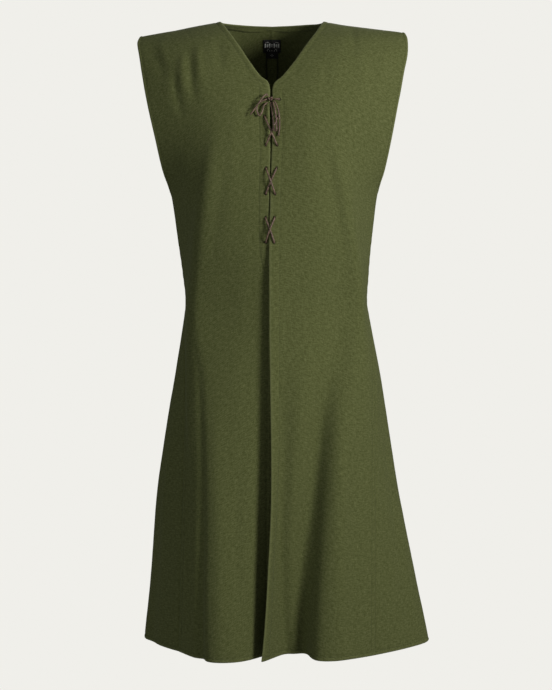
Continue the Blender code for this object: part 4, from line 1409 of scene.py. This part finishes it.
def worked_eyelet(centre, normal):
    """Short radial stitches round one hole, on the outer face."""
    side = np.cross(normal, DOWN)
    side /= np.linalg.norm(side)
    up = np.cross(normal, side)
    surface = centre + normal * CLOTH / 2
    parts = []
    for k in range(EYELET_STITCHES):
        angle = 2 * math.pi * k / EYELET_STITCHES
        outward = side * math.cos(angle) + up * math.sin(angle)
        start = surface + outward * (EYELET_DIAMETER / 2 - EYELET_INSET)
        parts.append(stitch(start, start + outward * EYELET_RIM, normal, STITCH_RADIUS))
    return parts


def add_eyelet_rims(cloths, thread):
    for side in ("right", "left"):
        parts = []
        for row in range(len(EYELETS)):
            parts += worked_eyelet(*eyelet(cloths, row, side))
        add_joined(f"eyelets_{side}", parts, thread)


# ---- label --------------------------------------------------------------------------
LABEL_ROWS = 14
LABEL_COLUMNS = 22
LABEL_SAG = 0.35            # the label's middle stands off the back between its stitches
MARK_HEIGHT = 0.16
MARK_SINK = 0.05            # its foot is this far under the label's face
MARK_INSET = 0.7            # a mark's top is this share of its foot
TAB_BULGE = 0.2             # how far the label's and the tab's rims stand out
LABEL_PITCH = 2.6           # between the stitches that hold the label
FORWARD = (0.0, -1.0, 0.0)

# across and down are shares of the tab; a half_width below 0 makes a lozenge, not a block.
Mark = namedtuple("Mark", "across down half_width half_height")


def tab_grids(cloths, width, height, top):
    """The two faces of a woven tab sewn inside the centre back."""
    near = []
    z_top = BACK[BACK_NECK].z_in - top
    for z in np.linspace(z_top, z_top - height, LABEL_ROWS):
        row = []
        for x in np.linspace(-width / 2, width / 2, LABEL_COLUMNS):
            cloth = cloths["back_left" if x >= 0 else "back_right"]
            point, normal = on_cloth(cloth, *find_on_cloth(cloth, x, z))
            row.append(point - normal * (CLOTH / 2 + LABEL_LIFT))
        near.append(row)
    near = np.array(near)
    u = np.linspace(0, math.pi, LABEL_COLUMNS)
    v = np.linspace(0, math.pi, LABEL_ROWS)
    sag = LABEL_SAG * np.outer(np.sin(v), np.sin(u) ** 0.5)
    far = near + np.stack([0 * sag, -LABEL_THICKNESS - sag, 0 * sag], axis=2)
    return near, far


def on_tab(face, across, down):
    """The point of a tab's front face at the shares across and down it."""
    rows, columns = face.shape[:2]
    i, j = down * (rows - 1), across * (columns - 1)
    point, _ = on_cloth(Cloth(face, face), i, j)
    return point


def relief(face, width, height, mark):
    """A low woven mark with sloping sides, on a tab's front face."""
    corners = ((-1, 0), (0, -1), (1, 0), (0, 1)) if mark.half_width < 0 else (
        (-1, -1), (1, -1), (1, 1), (-1, 1))
    vertices = []
    for lift, share in ((-MARK_SINK, 1.0), (MARK_HEIGHT, MARK_INSET)):
        for right, below in corners:
            u = mark.across + right * abs(mark.half_width) * share / width
            v = mark.down + below * mark.half_height * share / height
            vertices.append(on_tab(face, u, v) + np.array([0.0, -lift, 0.0]))
    faces = [(3, 2, 1, 0), (4, 5, 6, 7)]
    faces += [(k, (k + 1) % 4, 4 + (k + 1) % 4, 4 + k) for k in range(4)]
    return np.array(vertices), faces


def label_marks():
    """Two bars with a row of blocks and lozenges between, and small lozenges below."""
    marks = [Mark(0.5, 0.20, 12.5, 0.5), Mark(0.5, 0.74, 9.0, 0.4)]
    for k in range(7):
        across = 0.5 + (k - 3) * 0.128
        half_width = 1.45 if k % 2 == 0 else -1.75
        marks.append(Mark(across, 0.47, half_width, 3.9))
    marks += [Mark(0.5 + (k - 2) * 0.13, 0.87, -0.9, 0.9) for k in range(5)]
    return marks


def add_label(cloths, satin, pale_thread):
    width, height = LABEL_SIZE
    near, far = tab_grids(cloths, width, height, LABEL_TOP)
    label = add_wall("woven_label", near, far, satin, TAB_BULGE)
    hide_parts("label")
    parts = [relief(far, width, height, mark) for mark in label_marks()]
    marks = add_joined("label_marks", parts, pale_thread)
    tab_width, tab_height = SIZE_TAB_SIZE
    near, tab_far = tab_grids(cloths, tab_width, tab_height, LABEL_TOP + height + TAB_GAP)
    tab = add_wall("woven_size_tab", near, tab_far, satin, TAB_BULGE)
    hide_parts("size_tab")
    parts = [relief(tab_far, tab_width, tab_height, Mark(0.5, 0.5, -2.6, 2.4))]
    tab_mark = add_joined("size_tab_mark", parts, pale_thread)
    sewing = []
    for face in (far, tab_far):
        facing = np.tile(FORWARD, (face.shape[0], 1))
        for column in (1, -2):
            sewing += stitch_row(face[:, column], facing, LABEL_PITCH)
    facing = np.tile(FORWARD, (far.shape[1], 1))
    sewing += stitch_row(far[1], facing, LABEL_PITCH)
    stitches = add_joined("label_sewing", sewing, satin)


# ---- materials ----------------------------------------------------------------------
WOOL_DARK = (0.060, 0.070, 0.018, 1.0)
WOOL_LIGHT = (0.100, 0.114, 0.036, 1.0)
WOOL_WORN = (0.190, 0.208, 0.085, 1.0)
WOOL_SHEEN = (0.55, 0.60, 0.40, 1.0)
THREAD_COLOUR = (0.040, 0.048, 0.014, 1.0)
OVERLOCK_COLOUR = (0.012, 0.014, 0.007, 1.0)
LEATHER_DARK = (0.052, 0.028, 0.019, 1.0)
LEATHER_LIGHT = (0.250, 0.162, 0.120, 1.0)
SATIN_DARK = (0.006, 0.006, 0.006, 1.0)
SATIN_LIGHT = (0.018, 0.018, 0.017, 1.0)
PALE_THREAD_DARK = (0.78, 0.78, 0.74, 1.0)
PALE_THREAD_LIGHT = (0.95, 0.95, 0.90, 1.0)

TWILL_SCALE = 205.0         # diagonal ribs about 2 mm apart
WARP_SCALE = (430.0, 130.0, 1.0)    # uneven yarns lengthwise, then crosswise
WEFT_SCALE = (135.0, 450.0, 1.0)
TWILL_DEPTH = 0.00012
DYE_SCALE = 14.0            # broad patches of slightly uneven dye
DYE_SHARE = 0.25
YARN_SHARE = 0.46
NAP_SHARE = 0.30
WEAR_SHARE = 0.55
NAP_SCALE = 820.0
NAP_DEPTH = 0.00030
FLEECE_SCALE = 210.0
FLEECE_DEPTH = 0.00035
FIBRE_SCALE = 1500.0
FIBRE_DEPTH = 0.0001
GRAIN_SCALE = 900.0
GRAIN_DEPTH = 0.00025
PATCH_SCALE = 160.0
ROUGH_LEATHER = (0.62, 0.62, 0.62, 1.0)
WORN_LEATHER = (0.42, 0.42, 0.42, 1.0)
SATIN_SCALE = 700.0
SATIN_DEPTH = 0.00008


class Nodes:
    """A material's node tree, with short ways to add and link nodes."""

    def __init__(self, name):
        self.material = bpy.data.materials.new(name)
        self.material.use_nodes = True
        self.tree = self.material.node_tree
        self.shader = self.tree.nodes["Principled BSDF"]

    def add(self, kind, **settings):
        node = self.tree.nodes.new(kind)
        for key, value in settings.items():
            setattr(node, key, value)
        return node

    def link(self, output, socket):
        self.tree.links.new(output, socket)

    def socket(self, name):
        """One of the shader's own inputs."""
        return self.shader.inputs[name]

    def set(self, **values):
        for key, value in values.items():
            self.shader.inputs[key.replace("_", " ")].default_value = value

    def place(self):
        """The place on the object, in metres."""
        return self.add("ShaderNodeTexCoord").outputs["Object"]

    def cloth_map(self):
        """The place along the cloth, in metres."""
        return self.add("ShaderNodeUVMap", uv_map="cloth").outputs["UV"]

    def noise(self, vector, scale, detail=3.0, roughness=0.55):
        node = self.add("ShaderNodeTexNoise")
        node.inputs["Scale"].default_value = scale
        node.inputs["Detail"].default_value = detail
        node.inputs["Roughness"].default_value = roughness
        self.link(vector, node.inputs["Vector"])
        return node.outputs["Fac"]

    def ramp(self, value, low, high, start=0.3, end=0.7):
        node = self.add("ShaderNodeValToRGB")
        node.color_ramp.elements[0].position = start
        node.color_ramp.elements[0].color = low
        node.color_ramp.elements[1].position = end
        node.color_ramp.elements[1].color = high
        self.link(value, node.inputs["Fac"])
        return node.outputs["Color"]

    def mix(self, share, first, second, blend="MIX"):
        node = self.add("ShaderNodeMix", data_type="RGBA", blend_type=blend)
        for socket, value in ((node.inputs["Factor"], share), (node.inputs[6], first),
                              (node.inputs[7], second)):
            if isinstance(value, (float, tuple)):
                socket.default_value = value
            else:
                self.link(value, socket)
        return node.outputs[2]

    def bump(self, height, distance, below=None, strength=1.0):
        node = self.add("ShaderNodeBump")
        node.inputs["Strength"].default_value = strength
        node.inputs["Distance"].default_value = distance
        self.link(height, node.inputs["Height"])
        if below is not None:
            self.link(below, node.inputs["Normal"])
        return node.outputs["Normal"]


def wool_material(name, dark, light, worn):
    """Brushed woollen twill: faint diagonal ribs under a short matted nap."""
    nodes = Nodes(name)
    cloth_map = nodes.cloth_map()
    place = nodes.place()
    twill = nodes.add("ShaderNodeTexWave", bands_direction="DIAGONAL")
    twill.inputs["Scale"].default_value = TWILL_SCALE
    twill.inputs["Distortion"].default_value = 2.2
    twill.inputs["Detail"].default_value = 2.0
    twill.inputs["Detail Scale"].default_value = 3.0
    nodes.link(cloth_map, twill.inputs["Vector"])
    nap = nodes.noise(place, NAP_SCALE, 2.0)
    fleece = nodes.noise(place, FLEECE_SCALE, 4.0, 0.65)
    dye = nodes.noise(place, DYE_SCALE, 3.0)
    colour = nodes.ramp(fleece, dark, light, 0.36, 0.64)
    colour = nodes.mix(DYE_SHARE, colour, nodes.ramp(dye, dark, light, 0.35, 0.65))
    for scale in (WARP_SCALE, WEFT_SCALE):
        stretch = nodes.add("ShaderNodeMapping")
        stretch.inputs["Scale"].default_value = scale
        nodes.link(cloth_map, stretch.inputs["Vector"])
        yarn = nodes.noise(stretch.outputs["Vector"], 1.0, 2.0)
        colour = nodes.mix(YARN_SHARE, colour, nodes.ramp(yarn, dark, worn, 0.40, 0.68))
    colour = nodes.mix(NAP_SHARE, colour, nodes.ramp(nap, dark, worn, 0.36, 0.72))
    wear = nodes.add("ShaderNodeAttribute", attribute_name="wear").outputs["Fac"]
    share = nodes.add("ShaderNodeMath", operation="MULTIPLY")
    share.inputs[1].default_value = WEAR_SHARE
    nodes.link(wear, share.inputs[0])
    colour = nodes.mix(share.outputs[0], colour, worn)
    nodes.link(colour, nodes.socket("Base Color"))
    normal = nodes.bump(fleece, FLEECE_DEPTH)
    normal = nodes.bump(nap, NAP_DEPTH, normal, 0.8)
    normal = nodes.bump(twill.outputs["Fac"], TWILL_DEPTH, normal, 0.8)
    nodes.link(normal, nodes.socket("Normal"))
    nodes.set(Roughness=0.95, Sheen_Weight=0.12, Sheen_Roughness=0.45, Sheen_Tint=WOOL_SHEEN,
              Specular_IOR_Level=0.18)
    return nodes.material


def thread_material(name, colour, paler):
    """Spun thread with fine turns along it."""
    nodes = Nodes(name)
    place = nodes.place()
    fibre = nodes.noise(place, FIBRE_SCALE, 2.0)
    nodes.link(nodes.ramp(fibre, colour, paler), nodes.socket("Base Color"))
    nodes.link(nodes.bump(fibre, FIBRE_DEPTH), nodes.socket("Normal"))
    nodes.set(Roughness=0.8, Specular_IOR_Level=0.25, Sheen_Weight=0.1)
    return nodes.material


def leather_material():
    """Thin split leather: a smooth worn face with darker grain."""
    nodes = Nodes("leather")
    place = nodes.place()
    grain = nodes.noise(place, GRAIN_SCALE, 4.0, 0.6)
    patches = nodes.noise(place, PATCH_SCALE, 3.0)
    colour = nodes.mix(0.5, nodes.ramp(grain, LEATHER_DARK, LEATHER_LIGHT, 0.35, 0.62),
                       nodes.ramp(patches, LEATHER_DARK, LEATHER_LIGHT, 0.38, 0.62))
    nodes.link(colour, nodes.socket("Base Color"))
    nodes.link(nodes.ramp(patches, ROUGH_LEATHER, WORN_LEATHER), nodes.socket("Roughness"))
    nodes.link(nodes.bump(grain, GRAIN_DEPTH, None, 0.7), nodes.socket("Normal"))
    nodes.set(Specular_IOR_Level=0.5)
    return nodes.material


def satin_material():
    """Black satin weave of the label, with close horizontal threads."""
    nodes = Nodes("label_satin")
    cloth_map = nodes.cloth_map()
    threads = nodes.add("ShaderNodeTexWave", bands_direction="Y")
    threads.inputs["Scale"].default_value = SATIN_SCALE
    threads.inputs["Distortion"].default_value = 0.6
    nodes.link(cloth_map, threads.inputs["Vector"])
    colour = nodes.ramp(threads.outputs["Fac"], SATIN_DARK, SATIN_LIGHT)
    nodes.link(colour, nodes.socket("Base Color"))
    nodes.link(nodes.bump(threads.outputs["Fac"], SATIN_DEPTH), nodes.socket("Normal"))
    nodes.set(Roughness=0.5, Specular_IOR_Level=0.4)
    return nodes.material


# ---- place in the frame -------------------------------------------------------------
def fitted_to_frame(panels):
    """Scales and shifts all panels together so that they fill the CAD panels' box exactly."""
    boxes = [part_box(name) for name in panels]
    low = np.min([box[0] for box in boxes], axis=0) / MM
    high = np.max([box[1] for box in boxes], axis=0) / MM
    faces = [panel.cloth.points + sign * panel.cloth.normals * CLOTH / 2
             for panel in panels.values() for sign in (-1, 1)]
    own = np.vstack([face.reshape(-1, 3) for face in faces])
    own_low, own_high = own.min(axis=0), own.max(axis=0)
    scale = (high - low) / (own_high - own_low)
    return {name: panel._replace(cloth=Cloth((panel.cloth.points - own_low) * scale + low,
                                             panel.cloth.normals))
            for name, panel in panels.items()}


# ---- stage --------------------------------------------------------------------------
BACKDROP_COLOUR = (0.871, 0.863, 0.823, 1.0)
BACKDROP_RADIUS = 9.0
BACKDROP_SIDES = 64
BACKDROP_STEPS = 12         # rings in its curve, and again in its dome
FLOOR_PARTS = 6             # the floor turns up over the last of these parts of its radius
FLOOR_BELOW_HEM = 0.09
CAMERA_DISTANCE = 3.2
CAMERA_HEIGHT = -0.25       # level with the breast, so the hem is seen from a little above
VIEW_HEIGHT = 1.2000        # what the frame takes in at the garment's centre plane
VIEW_CENTRE = (0.007, -0.560)
LENS_SHIFT = -0.14          # the rest of the way down is the camera's tilt
SENSOR = 36.0


def backdrop_profile():
    """Radius and height of the pale floor and the dome it curves up into."""
    floor = cad_low.z - FLOOR_BELOW_HEM
    profile = [(0.0, floor)]
    profile += [(BACKDROP_RADIUS * k / FLOOR_PARTS, floor) for k in range(1, FLOOR_PARTS)]
    level_part = (FLOOR_PARTS - 1) / FLOOR_PARTS
    for k in range(BACKDROP_STEPS + 1):
        angle = math.pi / 2 * k / BACKDROP_STEPS
        profile.append((BACKDROP_RADIUS * (level_part + math.sin(angle) / FLOOR_PARTS),
                        floor + BACKDROP_RADIUS / FLOOR_PARTS * (1 - math.cos(angle))))
    top = profile[-1][1]
    for k in range(1, BACKDROP_STEPS + 1):
        angle = math.pi / 2 * k / BACKDROP_STEPS
        profile.append((BACKDROP_RADIUS * math.cos(angle), top + BACKDROP_RADIUS * math.sin(angle)))
    return profile


def add_backdrop():
    """A plain pale floor that turns up into an all-round backdrop."""
    vertices = []
    profile = backdrop_profile()
    for radius, height in profile:
        for k in range(BACKDROP_SIDES):
            angle = 2 * math.pi * k / BACKDROP_SIDES
            vertices.append((radius * math.cos(angle), radius * math.sin(angle), height))
    mesh = bpy.data.meshes.new("backdrop")
    mesh.from_pydata(vertices, [], ring_quads(len(profile), BACKDROP_SIDES))
    mesh.validate()
    mesh.shade_smooth()
    nodes = Nodes("backdrop")
    nodes.set(Base_Color=(0.0, 0.0, 0.0, 1.0), Roughness=1.0, Specular_IOR_Level=0.0,
              Emission_Color=BACKDROP_COLOUR, Emission_Strength=1.0)
    mesh.materials.append(nodes.material)
    backdrop = placed("backdrop", mesh)
    backdrop.visible_diffuse = False
    backdrop.visible_glossy = False
    backdrop.visible_shadow = False
    backdrop.visible_transmission = False


Light = namedtuple("Light", "name place aim size watts colour")
LIGHTS = (
    Light("key", (1.75, -1.65, 0.24), (0.0, 0.0, 0.50), 0.8, 50.0, (1.0, 0.985, 0.955)),
    Light("fill", (-2.2, -2.6, -0.30), (0.0, 0.0, -0.20), 1.8, 14.0, (0.97, 0.985, 1.0)),
    Light("rear", (0.3, 3.6, 1.1), (0.0, 0.0, -0.50), 1.8, 80.0, (1.0, 0.99, 0.97)),
)
FILL_STRENGTH = 0.12


def add_lights():
    for light in LIGHTS:
        data = bpy.data.lights.new(light.name, "AREA")
        data.shape = "DISK"
        data.size = light.size
        data.energy = light.watts
        data.color = light.colour
        obj = placed(light.name, data)
        obj.location = light.place
        aim = Vector(light.aim) - Vector(light.place)
        obj.rotation_euler = aim.to_track_quat("-Z", "Y").to_euler()
    world = bpy.data.worlds.new("studio")
    world.use_nodes = True
    world.node_tree.nodes["Background"].inputs["Color"].default_value = (1.0, 1.0, 0.98, 1.0)
    world.node_tree.nodes["Background"].inputs["Strength"].default_value = FILL_STRENGTH
    bpy.context.scene.world = world
    bpy.context.scene.view_settings.view_transform = "Standard"


def add_camera():
    """The camera in front of the garment, tilted down; the lens shift keeps uprights upright."""
    data = bpy.data.cameras.new("camera")
    data.sensor_width = SENSOR
    tilt_drop = CAMERA_HEIGHT - VIEW_CENTRE[1] + LENS_SHIFT * VIEW_HEIGHT
    tilt = math.atan2(tilt_drop, CAMERA_DISTANCE)
    data.lens = SENSOR * CAMERA_DISTANCE / VIEW_HEIGHT
    data.shift_x = VIEW_CENTRE[0] / VIEW_HEIGHT
    data.shift_y = LENS_SHIFT
    camera = placed("camera", data)
    camera.location = (0.0, -CAMERA_DISTANCE, CAMERA_HEIGHT)
    camera.rotation_euler = (math.pi / 2 - tilt, 0.0, 0.0)
    bpy.context.scene.camera = camera


# ---- the whole garment --------------------------------------------------------------
def add_cloth(panels):
    wool = wool_material("wool_face", WOOL_DARK, WOOL_LIGHT, WOOL_WORN)
    thread = thread_material("sewing_thread", THREAD_COLOUR, WOOL_LIGHT)
    dark_thread = thread_material("overlock_thread", OVERLOCK_COLOUR, THREAD_COLOUR)
    pieces = {name: add_panel(name, panel, wool) for name, panel in panels.items()}
    allowances = add_allowances(panels, wool, dark_thread)
    stitches = add_stitches(panels, thread)
    cloths = {name: panel.cloth for name, panel in panels.items()}
    cut_eyelets(cloths, pieces)
    add_eyelet_rims(cloths, thread)
    band, face, inward = add_neck_band(panels, wool)
    middle = face.shape[1] // 2
    sewing = stitch_row(face[:, middle], inward[:, middle])
    band_stitches = add_joined("band_sewing", sewing, thread)
    return cloths


def main():
    add_camera()
    add_lights()
    add_backdrop()
    panels = fitted_to_frame(smooth_panels())
    panels = {name: creased(name, panel) for name, panel in panels.items()}
    cloths = add_cloth(panels)
    add_lacing(cloths, leather_material())
    pale_thread = thread_material("label_thread", PALE_THREAD_DARK, PALE_THREAD_LIGHT)
    add_label(cloths, satin_material(), pale_thread)


main()
